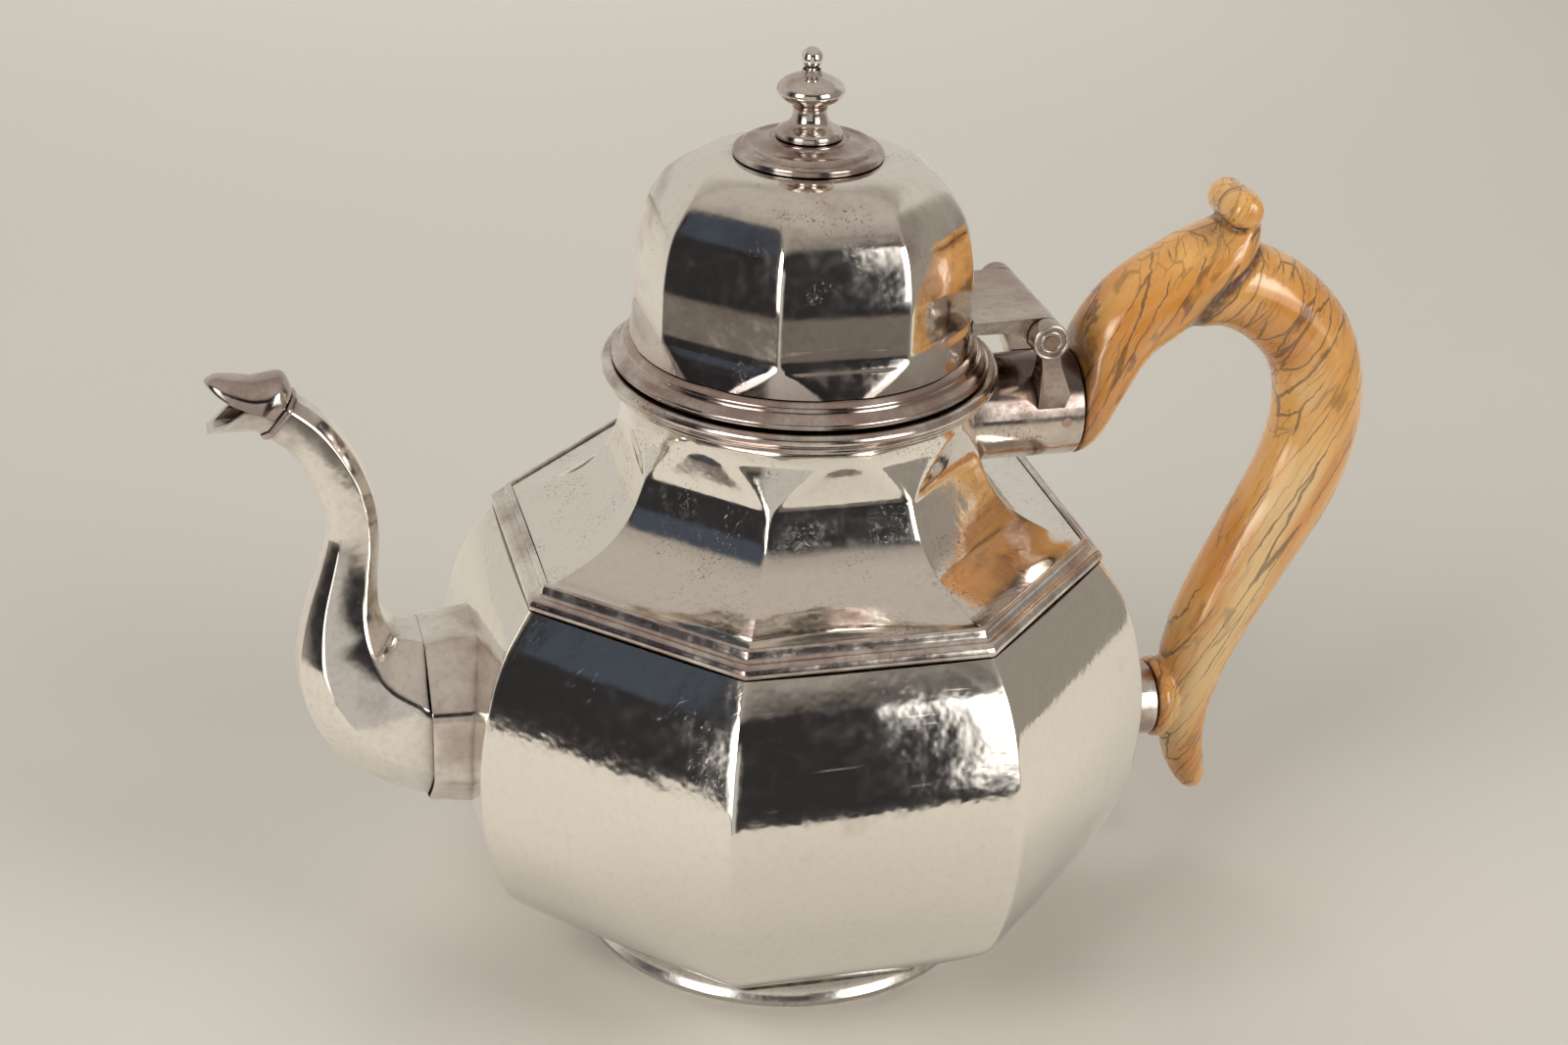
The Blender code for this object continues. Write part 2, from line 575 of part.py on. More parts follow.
def make_stud():
    """The threaded stud, with the ball that ends it above the knob."""
    outline = [
        (0, STUD_BOTTOM, 1), (STUD_R - 0.3, STUD_BOTTOM, 1), (STUD_R, STUD_BOTTOM + 0.3, 1),
        (STUD_R, STUD_TOP, 1), (0.95, STUD_TOP + 0.4, 1),
    ]
    for k in range(9):
        angle = math.radians(-62 + 152 * k / 8)
        outline.append((BALL_R * math.cos(angle), BALL_Z + BALL_R * math.sin(angle), 1))
    outline[-1] = (0, BALL_Z + BALL_R, 1)
    mesh = bmesh.new()
    skin(mesh, level_rings(outline, PIN_STEPS))
    return finished("finial_stud", mesh, silver("stud silver"), 40)


# ---------------------------------------------------------------- assembly
def build():
    bowl_guide = solid_guide("bowl_guide", BOWL, 8, GAP)
    neck_guide = solid_guide("neck_guide", SHOULDER, BLEND_STEPS, 2 * GAP)
    dome_guide = solid_guide("dome_guide", DOME, BLEND_STEPS, 2 * GAP)
    socket_guide = guide(bar(
        "socket_guide", UPPER_R + GAP, (20, 0, UPPER_Z), (UPPER_END_X + 5, 0, UPPER_Z), 32,
    ))
    rim_guide = guide(bar("rim_guide", RIM_R + 2 * GAP, (0, 0, 105), (0, 0, 112), ROUND_STEPS))
    fixed_bore = guide(along_y("fixed_bore", FIXED_BORE_R, KNUCKLE_OUT + 1))

    upper_socket = make_upper_socket(neck_guide, rim_guide)
    lower_socket = make_lower_socket(bowl_guide)
    handle = make_handle()
    pot = [
        make_bowl(), make_shoulder(), upper_socket, lower_socket, handle,
        turned_ring("girdle_moulding", GIRDLE, 8, silver("girdle silver", 0.2)),
        turned_ring("rim_ring", RIM, ROUND_STEPS, silver("rim silver", 0.15)),
        turned_ring("foot_ring", FOOT, ROUND_STEPS, silver("foot silver", 0.1)),
        make_spout(bowl_guide), make_collar(bowl_guide, make_spout_guide()), make_neck_band(), make_hood(),
        make_cross_pin("upper_handle_pin", 46.5, UPPER_Z, UPPER_R + 0.1, [upper_socket, handle]),
        make_cross_pin("lower_handle_pin", 67.5, LOWER_Z, LOWER_R + 0.1, [lower_socket, handle]),
        make_knuckle("hinge_knuckle_near", -1, socket_guide, fixed_bore),
        make_knuckle("hinge_knuckle_far", 1, socket_guide, fixed_bore),
        along_y("hinge_pin", HINGE_PIN_R, KNUCKLE_OUT + 0.1, material=silver("pin silver", 0.5)),
    ]
    lid = [
        make_dome(), make_leaf(dome_guide), make_nut(), make_stud(),
        turned_ring("lid_flange", FLANGE, ROUND_STEPS, silver("flange silver", 0.25)),
        turned_ring("lid_bezel", BEZEL, ROUND_STEPS, silver("bezel silver", 0.3)),
        turned_ring("finial_plate", FINIAL_PLATE, 36, silver("finial plate silver", 0.3)),
        turned_ring("finial_knob", FINIAL_KNOB, PIN_STEPS, silver("finial knob silver", 0.2)),
        turned_ring("finial_washer", WASHER, PIN_STEPS, silver("washer silver", 0.4)),
    ]

    pot_empty = bpy.data.objects.new("pot_axis", None)
    pot_empty.location.x = POT_AXIS_X * MM
    hinge_empty = bpy.data.objects.new("lid_hinge_axis", None)
    hinge_empty.parent = pot_empty
    hinge_empty.location = Vector((HINGE_X, 0, HINGE_Z)) * MM
    for empty in (pot_empty, hinge_empty):
        bpy.context.scene.collection.objects.link(empty)
    for piece in lid:
        piece.data.transform(Matrix.Translation(-hinge_empty.location))
        piece.parent = hinge_empty
    for piece in bpy.data.objects:
        if piece.type == "MESH" and piece.parent is None:
            piece.parent = pot_empty


build()
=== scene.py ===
"""Looks of the octagonal silver teapot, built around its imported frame.

Outlines and routes are in millimetres about the pot's own axis, with the foot at height 0, the spout towards
-X and the handle towards +X, and become metres in the frame where a mesh is made.
"""

import math

import bmesh
import bpy
import numpy as np
from mathutils import Matrix, Vector
from mathutils.bvhtree import BVHTree


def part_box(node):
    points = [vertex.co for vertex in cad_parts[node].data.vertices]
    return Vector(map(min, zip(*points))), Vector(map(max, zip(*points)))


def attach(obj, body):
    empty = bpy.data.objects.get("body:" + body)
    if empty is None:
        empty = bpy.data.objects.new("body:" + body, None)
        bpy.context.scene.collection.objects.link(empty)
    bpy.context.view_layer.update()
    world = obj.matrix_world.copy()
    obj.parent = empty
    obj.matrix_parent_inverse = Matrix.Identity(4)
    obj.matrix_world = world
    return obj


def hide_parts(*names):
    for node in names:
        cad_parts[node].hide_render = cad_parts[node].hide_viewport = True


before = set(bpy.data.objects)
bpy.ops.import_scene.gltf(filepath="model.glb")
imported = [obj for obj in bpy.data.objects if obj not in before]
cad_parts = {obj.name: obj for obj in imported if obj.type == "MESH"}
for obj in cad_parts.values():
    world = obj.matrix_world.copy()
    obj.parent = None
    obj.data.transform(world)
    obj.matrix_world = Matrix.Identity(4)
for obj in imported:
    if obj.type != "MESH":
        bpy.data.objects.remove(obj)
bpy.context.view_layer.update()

MM = 0.001
EIGHTH = math.pi / 4
FLAT = math.cos(EIGHTH / 2)          # an octagon's flat over its corner radius


def middle(node):
    """Centre of a CAD node's box, in mm."""
    low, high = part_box(node)
    return [(a + b) / 2 / MM for a, b in zip(low, high)]


POT_X = middle("foot_ring")[0]       # the pot's own axis, in the frame
HINGE_X = middle("hinge_pin")[0] - POT_X
HINGE_Z = middle("hinge_pin")[2]
WALL = 0.9
SIDE_POINTS = 26                     # points along each of the octagon's sides
BOWL_BULGE = 0.45                    # how far a panel stands proud of flat, in its middle
SHOULDER_BULGE = -0.1
DOME_BULGE = 0.15
SOFTNESS = 0.3                       # rounding of ridges and of the arched lines
SHARP, ALL_SMOOTH = 32, 180          # degrees between faces that are shaded apart
SHELL_PARTS, RING_PARTS = 5, 3       # parts to each span of a vessel's outline, and of a moulding's
SPOUT_PARTS, HOOD_PARTS, LIMB_PARTS, SKIN_PARTS = 7, 5, 4, 3
RING_STEPS, KNOB_STEPS, STUD_STEPS = 144, 96, 48    # steps round a ring
LIMB_STEPS, CARVED_STEPS, SOCKET_STEPS = 56, 48, 96
HINGE_RING_STEPS, HINGE_SECTION_STEPS, ARCH_STEPS = 64, 12, 28

# ---------------------------------------------------------------- outlines
# (corner radius, height, roundness: 0 is an octagon and 1 a circle)
BOWL = [
    (0.5, 4.6, 0), (36.6, 4.6, 0), (39.5, 5.1, 0), (42.0, 6.6, 0), (45.5, 9.1, 0), (50.0, 12.5, 0),
    (54.0, 15.5, 0), (57.2, 18.1, 0), (59.4, 20.5, 0), (60.9, 23.2, 0), (62.1, 26.5, 0), (63.4, 31.0, 0),
    (64.4, 37.0, 0), (64.8, 45.5, 0), (64.3, 52.0, 0), (63.2, 57.8, 0), (61.8, 63.2, 0), (59.5, 68.6, 0),
    (57.0, 72.5, 0), (54.8, 75.6, 0),
]
SHOULDER = [
    (51.0, 79.45, 0), (48.6, 79.8, 0), (45.6, 80.7, 0), (42.3, 82.0, 0), (39.2, 83.7, 0), (36.5, 86.1, 0),
    (34.2, 89.3, 0), (32.4, 93.2, 0), (31.75, 95.1, 0.1), (31.2, 97.1, 0.35), (30.7, 100.4, 0.75),
    (30.6, 102.6, 1), (30.9, 104.4, 1), (31.3, 105.5, 1),
]
GIRDLE = [
    (51.15, 78.3, 0), (51.15, 79.65, 0), (51.7, 79.85, 0), (52.2, 79.5, 0), (52.5, 78.6, 0), (53.1, 78.0, 0),
    (53.7, 78.05, 0), (54.4, 77.7, 0), (54.9, 76.9, 0), (54.9, 76.2, 0), (54.4, 75.8, 0), (51.9, 76.4, 0),
]
RIM = [
    (28.8, 105.65, 1), (28.8, 109.2, 1), (29.1, 109.45, 1), (33.2, 109.45, 1), (33.9, 109.15, 1),
    (34.25, 108.4, 1), (34.0, 107.6, 1), (33.3, 107.15, 1), (32.9, 106.7, 1), (32.95, 106.1, 1),
    (32.3, 105.7, 1),
]
FOOT = [
    (34.8, 0, 1), (37.8, 0, 1), (37.8, 0.9, 1), (37.2, 1.7, 1), (36.8, 2.8, 1), (37.0, 4.4, 1),
    (34.8, 4.4, 1),
]
DOME = [
    (29.4, 113.9, 0.9), (29.3, 115.5, 0.7), (29.2, 117.4, 0.35), (29.1, 119.4, 0), (29.0, 124.5, 0),
    (28.9, 128.0, 0), (28.3, 132.3, 0), (27.3, 135.9, 0), (25.7, 139.0, 0), (23.7, 141.7, 0.1),
    (21.0, 143.4, 0.5), (17.6, 144.8, 1), (13.0, 145.6, 1), (7.0, 146.0, 1), (1.35, 146.1, 1),
]
FLANGE = [
    (27.9, 109.9, 1), (32.0, 109.9, 1), (32.35, 110.3, 1), (32.3, 110.8, 1), (31.7, 111.3, 1),
    (31.0, 111.7, 1), (30.6, 112.3, 1), (30.55, 112.9, 1), (30.1, 113.4, 1), (29.5, 113.7, 1),
    (27.9, 113.7, 1),
]
FINIAL_PLATE = [
    (1.35, 146.3, 1), (8.0, 146.15, 1), (12.2, 145.8, 1), (12.6, 146.2, 1), (12.5, 146.8, 1),
    (11.9, 147.15, 1), (11.4, 147.2, 1), (11.0, 147.75, 1), (10.4, 147.95, 1), (9.6, 147.65, 1),
    (8.0, 147.8, 1), (6.6, 148.3, 1), (5.9, 148.75, 1), (1.35, 148.75, 1),
]
FINIAL_KNOB = [
    (1.35, 148.9, 1), (5.2, 148.9, 1), (5.6, 149.45, 1), (5.4, 150.1, 1), (4.5, 150.7, 1),
    (3.5, 151.3, 1), (2.95, 152.4, 1), (2.9, 153.6, 1), (3.3, 154.6, 1), (4.6, 155.3, 1), (5.5, 156.2, 1),
    (5.65, 157.1, 1), (5.1, 158.0, 1), (3.6, 158.9, 1), (2.0, 159.4, 1), (1.35, 159.5, 1),
]
STUD_R, STUD_BOTTOM, STUD_TOP = 1.2, 141.8, 159.7
STUD_NECK_R, STUD_NECK = 0.95, 0.4   # the stud's waist under its ball
BALL_Z, BALL_R = 162.2, 1.87
BALL_FROM, BALL_TO, BALL_STEPS = -62, 88, 20

# ---------------------------------------------------------------- routes
# (x, height, heading of the section in degrees, radius, breadth)
SPOUT = [
    (-56.0, 46.9, 88, 16.2, 0), (-62.0, 47.0, 86, 15.9, 0), (-66.5, 47.3, 83, 15.5, 0),
    (-69.8, 48.9, 74, 15.0, 0), (-73.4, 51.1, 62, 14.1, 0.1), (-76.3, 53.7, 50, 12.9, 0.2),
    (-78.4, 57.0, 37, 11.4, 0.35), (-79.7, 61.2, 22, 9.6, 0.5), (-79.9, 65.5, 9, 7.8, 0.7),
    (-79.5, 70.3, -3, 6.35, 0.9), (-78.4, 76.2, -7, 5.3, 1), (-77.5, 82.2, 3, 4.75, 1),
    (-77.9, 88.2, 17, 4.6, 1), (-80.1, 94.8, 30, 4.55, 1), (-84.1, 101.3, 45, 4.45, 1),
    (-89.4, 105.8, 53, 4.4, 1), (-92.6, 107.2, 70, 4.55, 1), (-96.2, 107.6, 87, 4.8, 1),
    (-100.4, 107.65, 90, 4.8, 1),
]
SPOUT_CORNERS = ((22.5, 67.5), (24.0, 58.0))    # bearings of a corner pair, at breadth 0 and at breadth 1
CORNER_CUT, SIDE_FULLNESS, SECTION_PARTS = 0.055, 0.02, 9
BILL_CUT = [                         # (x, height) round the space under the hood
    (-102.0, 103.35), (-100.2, 103.45), (-98.6, 104.4), (-97.0, 105.5), (-93.6, 107.9), (-91.4, 107.9),
    (-90.2, 107.3), (-86.2, 111.9), (-86.2, 117.0), (-102.0, 117.0),
]
BILL_HALF = 9                        # half the width of the block that cuts the bill open
HOOD = [                             # (side point, crest point, half width)
    ((-89.75, 106.25), (-86.35, 109.9), 5.05), ((-90.3, 106.75), (-86.95, 111.5), 5.2),
    ((-91.0, 107.1), (-88.1, 112.45), 5.35), ((-92.1, 107.45), (-90.6, 112.15), 5.35),
    ((-93.9, 108.05), (-93.1, 111.9), 5.0), ((-96.2, 108.95), (-95.8, 112.35), 4.4),
    ((-98.1, 110.1), (-98.2, 112.65), 3.5), ((-99.5, 111.2), (-99.7, 112.35), 2.2),
    ((-100.2, 111.65), (-100.35, 111.95), 0.9),
]
HOOD_WALL = 0.75
HOOD_SHARP = 50
ARCH_POWER = 0.8                     # below 1, an arch is fuller than an ellipse
NECK_BAND = (-88.75, 105.3, 51.5)    # x, height, heading
# (place along the neck, radius)
NECK_BAND_SECTION = [(-0.5, 4.5), (-0.5, 4.85), (0.0, 4.98), (0.5, 4.85), (0.5, 4.5)]
# (x, radius)
COLLAR = [(-56.0, 17.9), (-60.6, 17.6), (-63.5, 17.15), (-66.0, 16.95), (-66.5, 16.75)]
COLLAR_BORE = [(-66.5, 16.45), (-63.0, 16.45), (-56.0, 16.6)]
COLLAR_Z = 47.0
SKIN_GAP = 0.05                      # between the pot's skin and what is fitted to it

# The first limb ends in a tongue that turns up and rolls over; the second comes out from under it.
FIRST_LIMB = [
    (44.0, 97.5, -90, 8.2, 1), (50.15, 97.5, -90, 8.2, 1), (50.2, 97.5, -90, 9.3, 0.97),
    (50.6, 97.8, -89, 9.75, 0.96), (51.8, 99.15, -82, 10.1, 0.94), (53.2, 101.7, -76, 10.25, 0.92),
    (55.0, 105.1, -71, 9.75, 0.92), (57.0, 108.6, -68, 9.2, 0.93), (59.4, 112.1, -67, 8.65, 0.94),
    (62.4, 114.9, -71, 8.5, 0.95), (66.4, 117.3, -74, 8.5, 0.97), (70.5, 119.7, -66, 8.3, 1.0),
    (74.2, 122.6, -52, 7.2, 1.13), (77.0, 125.8, -36, 5.7, 1.32), (78.8, 129.0, -18, 4.2, 1.45),
    (79.4, 131.6, -6, 3.0, 1.7), (79.4, 132.8, 0, 2.2, 2.0),
]
SECOND_LIMB = [
    (66.4, 116.2, -78, 6.9, 0.94), (70.5, 117.9, -84, 7.7, 0.93), (74.5, 118.7, -89, 8.1, 0.92),
    (78.2, 118.5, -97, 8.2, 0.92), (82.0, 117.4, -112, 8.15, 0.93), (86.5, 115.1, -122, 8.2, 0.94),
    (91.0, 111.6, -134, 8.25, 0.94), (94.9, 107.1, -145, 8.25, 0.94), (97.6, 101.4, -160, 8.3, 0.94),
    (98.8, 95.1, -174, 8.35, 0.94), (98.7, 88.4, -186, 8.35, 0.94), (97.3, 81.6, -197, 8.4, 0.94),
    (94.5, 74.3, -205, 8.3, 0.94), (90.4, 66.1, -207, 8.1, 0.94), (86.2, 57.6, -204, 7.8, 0.94),
    (82.6, 49.4, -198, 7.3, 0.95), (80.2, 41.2, -190, 6.5, 0.96), (79.2, 33.0, -182, 5.4, 0.97),
    (79.6, 26.0, -174, 4.5, 0.98), (81.0, 19.8, -166, 3.8, 1), (82.9, 15.0, -158, 2.7, 1),
    (83.7, 13.4, -155, 1.6, 1), (84.0, 12.8, -155, 0.6, 1),
]
ROLL_X, ROLL_Z, ROLL_R, ROLL_HALF = 78.1, 133.0, 3.5, 6.7
# (share of the roll's half length, share of its radius)
ROLL_END = [(-1.02, 0.1), (-1.01, 0.35), (-0.97, 0.6), (-0.88, 0.8), (-0.72, 0.94), (-0.5, 1.0), (0, 1.02)]
# (x, radius)
BOSS = [(66.0, 5.9), (71.7, 5.9), (71.75, 7.3), (72.2, 7.75), (73.4, 7.85), (74.3, 7.4), (77.2, 4.0)]
UPPER_SOCKET = [(27.0, 9.4), (49.5, 9.4), (49.8, 9.32), (49.95, 9.15), (50.0, 8.9), (50.0, 8.5), (32.5, 8.5)]
UPPER_SOCKET_Z = 97.5
LOWER_SOCKET = [(56.0, 7.0), (71.0, 7.0), (71.25, 6.93), (71.4, 6.75), (71.4, 6.1), (61.5, 6.1)]
LOWER_SOCKET_Z = 34.0
HINGE_HALF = 15.2
HINGE_RINGS = [("hinge_end_rim", 2.85, 0.32), ("hinge_end_ring", 1.75, 0.22)]    # radius, half thickness
EASED, EASED_ABOVE = 0.25, 28        # rounding of the kept pieces' edges, and the least angle of an edge
CARVING_VOXEL = 0.4

# where the ivory is stained, where shade is painted under the roll, and how deep the line between its limbs is
# cut
LIP_DEPTH, LIP_FROM, LIP_WIDTH, LIP_ABOVE = 0.45, 0.25, 0.55, 104
SOCKET_STAIN, SOCKET_STAIN_X, SOCKET_STAIN_WIDTH = 0.5, 50, 2.5
HOLLOW_SHADE, HOLLOW_SHADE_AT, HOLLOW_SHADE_WIDTH = 0.7, (74.0, -2.0, 127.0), 4.0


# ---------------------------------------------------------------- mesh helpers
def between(stations, parts):
    """Stations of a smooth route through the given ones, with this many parts to each span."""
    points = np.array(stations, float)
    smooth = []
    for k in range(len(points) - 1):
        p0, p1, p2, p3 = points[max(k - 1, 0)], points[k], points[k + 1], points[min(k + 2, len(points) - 1)]
        for t in np.linspace(0, 1, parts, endpoint=False):
            smooth.append(
                0.5 * (2 * p1 + (p2 - p0) * t + (2 * p0 - 5 * p1 + 4 * p2 - p3) * t ** 2
                       + (3 * p1 - p0 - 3 * p2 + p3) * t ** 3)
            )
    smooth.append(points[-1])
    return np.array(smooth)


def around(points, parts):
    """A smooth closed loop through the points, for the section of a moulding."""
    loop = np.array([points[-1], *points, points[0], points[1]], float)
    return between(loop, parts)[parts:-parts - 1]


def circle(steps):
    """Angles once round, the first not repeated."""
    return np.linspace(0, math.tau, steps, endpoint=False)


def made(name, rings, body, stands_for, material, closed=False, caps=False, sharp=SHARP):
    """A piece skinned over rings of points in mm about the pot's axis, riding on a body of the frame."""
    rings = np.array(rings, float)
    count, steps = rings.shape[:2]
    points = rings.reshape(-1, 3) + (POT_X, 0, 0)
    faces = []
    for ring in range(count if closed else count - 1):
        low, high = ring * steps, (ring + 1) % count * steps
        for k in range(steps):
            step = (k + 1) % steps
            faces.append((low + k, low + step, high + step, high + k))
    if caps:
        faces.append(tuple(range(steps)))
        faces.append(tuple(range((count - 1) * steps, count * steps)))
    data = bpy.data.meshes.new(name)
    data.from_pydata((points * MM).tolist(), [], faces)
    return placed(name, data, body, stands_for, material, sharp)


def guide(name, rings):
    """A closed solid that cuts or joins another piece, and rides on nothing."""
    return made(name, rings, None, [], None, caps=True)


def placed(name, data, body, stands_for, material, sharp):
    """Turns a mesh's faces outward, smooths and names it, and says what it rides on and stands for."""
    mesh = bmesh.new()
    mesh.from_mesh(data)
    bmesh.ops.recalc_face_normals(mesh, faces=mesh.faces)
    mesh.to_mesh(data)
    mesh.free()
    data.shade_smooth()
    data.set_sharp_from_angle(angle=math.radians(sharp))
    piece = bpy.data.objects.new(name, data)
    bpy.context.scene.collection.objects.link(piece)
    if material:
        data.materials.append(material)
    if body:
        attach(piece, body)
    for node in stands_for:
        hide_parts(node)
    return piece


def octagon_angles():
    """Angles round the pot, closer together towards the octagon's corners."""
    part = np.linspace(-1, 1, SIDE_POINTS, endpoint=False)
    offsets = EIGHTH / 2 * np.sin(part * math.pi / 2)
    return np.concatenate([k * EIGHTH + offsets for k in range(8)])


def soft_least(a, b, softness):
    """The smaller of two values, blended where they are within the softness of each other."""
    near = np.maximum(softness - np.abs(a - b), 0) / max(softness, 1e-6)
    return np.minimum(a, b) - near ** 2 * softness / 4


def level_ring(corner, height, roundness, angles, bulge=0.0):
    """A level ring: an octagon of slightly full panels, cut by its circle as far as it is round."""
    if roundness >= 1:
        radius = np.full(len(angles), corner)
    else:
        from_flat = (angles + EIGHTH / 2) % EIGHTH - EIGHTH / 2
        flat = corner * (FLAT + (1 - FLAT) * roundness) / np.cos(from_flat)
        full = bulge * (1 - roundness) * (1 - (from_flat / (EIGHTH / 2)) ** 2)
        radius = soft_least(flat + full, corner, SOFTNESS * min(1, 4 * (1 - roundness)))
    return np.stack([radius * np.cos(angles), radius * np.sin(angles), np.full(len(angles), height)], axis=1)


def skin_guide(outline):
    """The solid inside an outline, a hair larger, to fit a piece against the pot's skin."""
    angles = octagon_angles()
    rings = [level_ring(corner + SKIN_GAP, height, roundness, angles) for corner, height, roundness in outline]
    return guide("skin_guide", rings)


def moved_in(outline, depth):
    """The outline moved inwards by a depth square to itself, for the inside of a shell."""
    moved = []
    for k, (corner, height, roundness) in enumerate(outline):
        before, after = outline[max(k - 1, 0)], outline[min(k + 1, len(outline) - 1)]
        along = Vector((after[0] - before[0], after[1] - before[1])).normalized()
        stretch = 1 + (1 / FLAT - 1) * (1 - roundness)
        moved.append((max(corner - depth * along.y * stretch, 0.3), height + depth * along.x, roundness))
    return moved


def shell(name, outline, body, material, bulge):
    """A thin-walled vessel with level ends, from its outline."""
    fine = between(outline, SHELL_PARTS)
    fine[:, 2] = fine[:, 2].clip(0, 1)
    inner = np.array(moved_in(fine.tolist(), WALL))
    from_middle = outline[0][0] < 1
    inner[-1, 1] = fine[-1, 1]
    if not from_middle:
        inner[0, 1] = fine[0, 1]
    angles = octagon_angles()
    rings = [level_ring(*station, angles, bulge) for station in (*fine, *inner[::-1])]
    return made(name, rings, body, [name], material, closed=not from_middle, caps=from_middle)


def moulding(name, outline, body, material, parts=RING_PARTS, steps=RING_STEPS, octagonal=False):
    """A ring, such as a moulding, from the outline of its section."""
    loop = around(outline, parts) if parts > 1 else np.array(outline)
    angles = octagon_angles() if octagonal else circle(steps)
    rings = [level_ring(corner, height, 0 if octagonal else 1, angles) for corner, height, _ in loop]
    return made(name, rings, body, [name], material, closed=True)


# ---------------------------------------------------------------- shader helpers
class Shader:
    """A material with its nodes, in millimetre coordinates fixed to the pot."""

    def __init__(self, name):
        self.material = bpy.data.materials.new(name)
        self.material.use_nodes = True
        self.nodes = self.material.node_tree.nodes
        self.links = self.material.node_tree.links
        self.surface = self.nodes["Principled BSDF"]
        coordinates = self.nodes.new("ShaderNodeTexCoord")
        self.place = self.mapped(coordinates.outputs["Object"], (1 / MM, 1 / MM, 1 / MM))

    def feed(self, socket, value):
        if isinstance(value, bpy.types.NodeSocket):
            self.links.new(value, socket)
        else:
            socket.default_value = value

    def mapped(self, vector, scale, turn=(0, 0, 0)):
        node = self.nodes.new("ShaderNodeMapping")
        node.inputs["Scale"].default_value = scale
        node.inputs["Rotation"].default_value = turn
        self.links.new(vector, node.inputs["Vector"])
        return node.outputs["Vector"]

    def noise(self, scale, detail=2.0, rough=0.5, vector=None, warp=0.0):
        node = self.nodes.new("ShaderNodeTexNoise")
        self.links.new(vector or self.place, node.inputs["Vector"])
        node.inputs["Scale"].default_value = scale
        node.inputs["Detail"].default_value = detail
        node.inputs["Roughness"].default_value = rough
        node.inputs["Distortion"].default_value = warp
        return node.outputs["Fac"]

    def cells(self, scale, vector=None, feature="F1"):
        node = self.nodes.new("ShaderNodeTexVoronoi")
        node.feature = feature
        self.links.new(vector or self.place, node.inputs["Vector"])
        node.inputs["Scale"].default_value = scale
        return node.outputs["Distance"]

    def ramp(self, value, low, high, start=0.0, end=1.0):
        node = self.nodes.new("ShaderNodeMapRange")
        node.interpolation_type = "SMOOTHSTEP"
        inputs = {"Value": value, "From Min": low, "From Max": high, "To Min": start, "To Max": end}
        for socket, number in inputs.items():
            self.feed(node.inputs[socket], number)
        return node.outputs["Result"]

    def math(self, operation, a, b=0.0):
        node = self.nodes.new("ShaderNodeMath")
        node.operation = operation
        self.feed(node.inputs[0], a)
        self.feed(node.inputs[1], b)
        return node.outputs["Value"]

    def mix(self, amount, a, b):
        node = self.nodes.new("ShaderNodeMix")
        node.data_type = "RGBA"
        self.feed(node.inputs["Factor"], amount)
        self.feed(node.inputs["A"], (*a, 1) if isinstance(a, tuple) else a)
        self.feed(node.inputs["B"], (*b, 1) if isinstance(b, tuple) else b)
        return node.outputs["Result"]

    def part(self, axis, vector=None):
        """One coordinate of the place, or of another vector."""
        node = self.nodes.new("ShaderNodeSeparateXYZ")
        self.links.new(vector or self.place, node.inputs["Vector"])
        return node.outputs[axis]

    def worn(self, name):
        """A value kept at each point of the mesh."""
        node = self.nodes.new("ShaderNodeAttribute")
        node.attribute_name = name
        return node.outputs["Fac"]

    def crevice(self, distance):
        """1 in the open and 0 in a seam narrower than about this distance, in mm."""
        node = self.nodes.new("ShaderNodeAmbientOcclusion")
        node.samples = 4
        node.inputs["Distance"].default_value = distance * MM
        return node.outputs["AO"]

    def bump(self, height, distance, below=None):
        node = self.nodes.new("ShaderNodeBump")
        node.inputs["Distance"].default_value = distance * MM
        self.links.new(height, node.inputs["Height"])
        if below:
            self.links.new(below, node.inputs["Normal"])
        return node.outputs["Normal"]


TARNISH = (0.43, 0.33, 0.30)
SPECK = (0.33, 0.25, 0.20)
SHADED_HOLLOW = (0.05, 0.035, 0.03)
# painted shade, for the top of a part
PAINTED_TOP_SHADE = (0.11, 0.08, 0.072)
SEAM_DIRT = (0.09, 0.058, 0.045)
PIT = (0.13, 0.07, 0.05)
HOLLOW_REACH = 9.0                   # mm round a place that shade a deep hollow
SCRATCH_GRAIN = (0.05, 3.0, 0.6)     # stretches a noise into lines
SCRATCH_RUNS = [((0.4, 0.9, 0.3), 1.0), ((1.3, 0.2, 2.0), 0.8), ((2.2, 1.1, 0.7), 1.3)]    # turn, scale


def scratched(s):
    """1 in fine scratches that cross in three directions, in patches."""
    scratches = None
    for turn, scale in SCRATCH_RUNS:
        lines = s.noise(scale, 2, 0.7, s.mapped(s.place, SCRATCH_GRAIN, turn), 0.4)
        lines = s.ramp(lines, 0.66, 0.74)
        scratches = lines if scratches is None else s.math("MAXIMUM", scratches, lines)
    return s.math("MULTIPLY", scratches, s.ramp(s.noise(0.09, 2), 0.46, 0.68))


def tarnished(s, tarnish, low):
    """How far the silver has darkened at each place, and all round below a level where one is given."""
    patchy = s.noise(0.07, 4, 0.6)
    darkened = s.ramp(patchy, 0.66 - 0.55 * tarnish, 0.92 - 0.42 * tarnish)
    darkened = s.math("MULTIPLY", darkened, min(1, 0.3 + tarnish))
    if low:
        level = s.math("ADD", s.part("Z"), s.math("MULTIPLY", patchy, 12))
        darkened = s.math("MAXIMUM", darkened, s.ramp(level, *low, 0.7, 0.0))
    return darkened


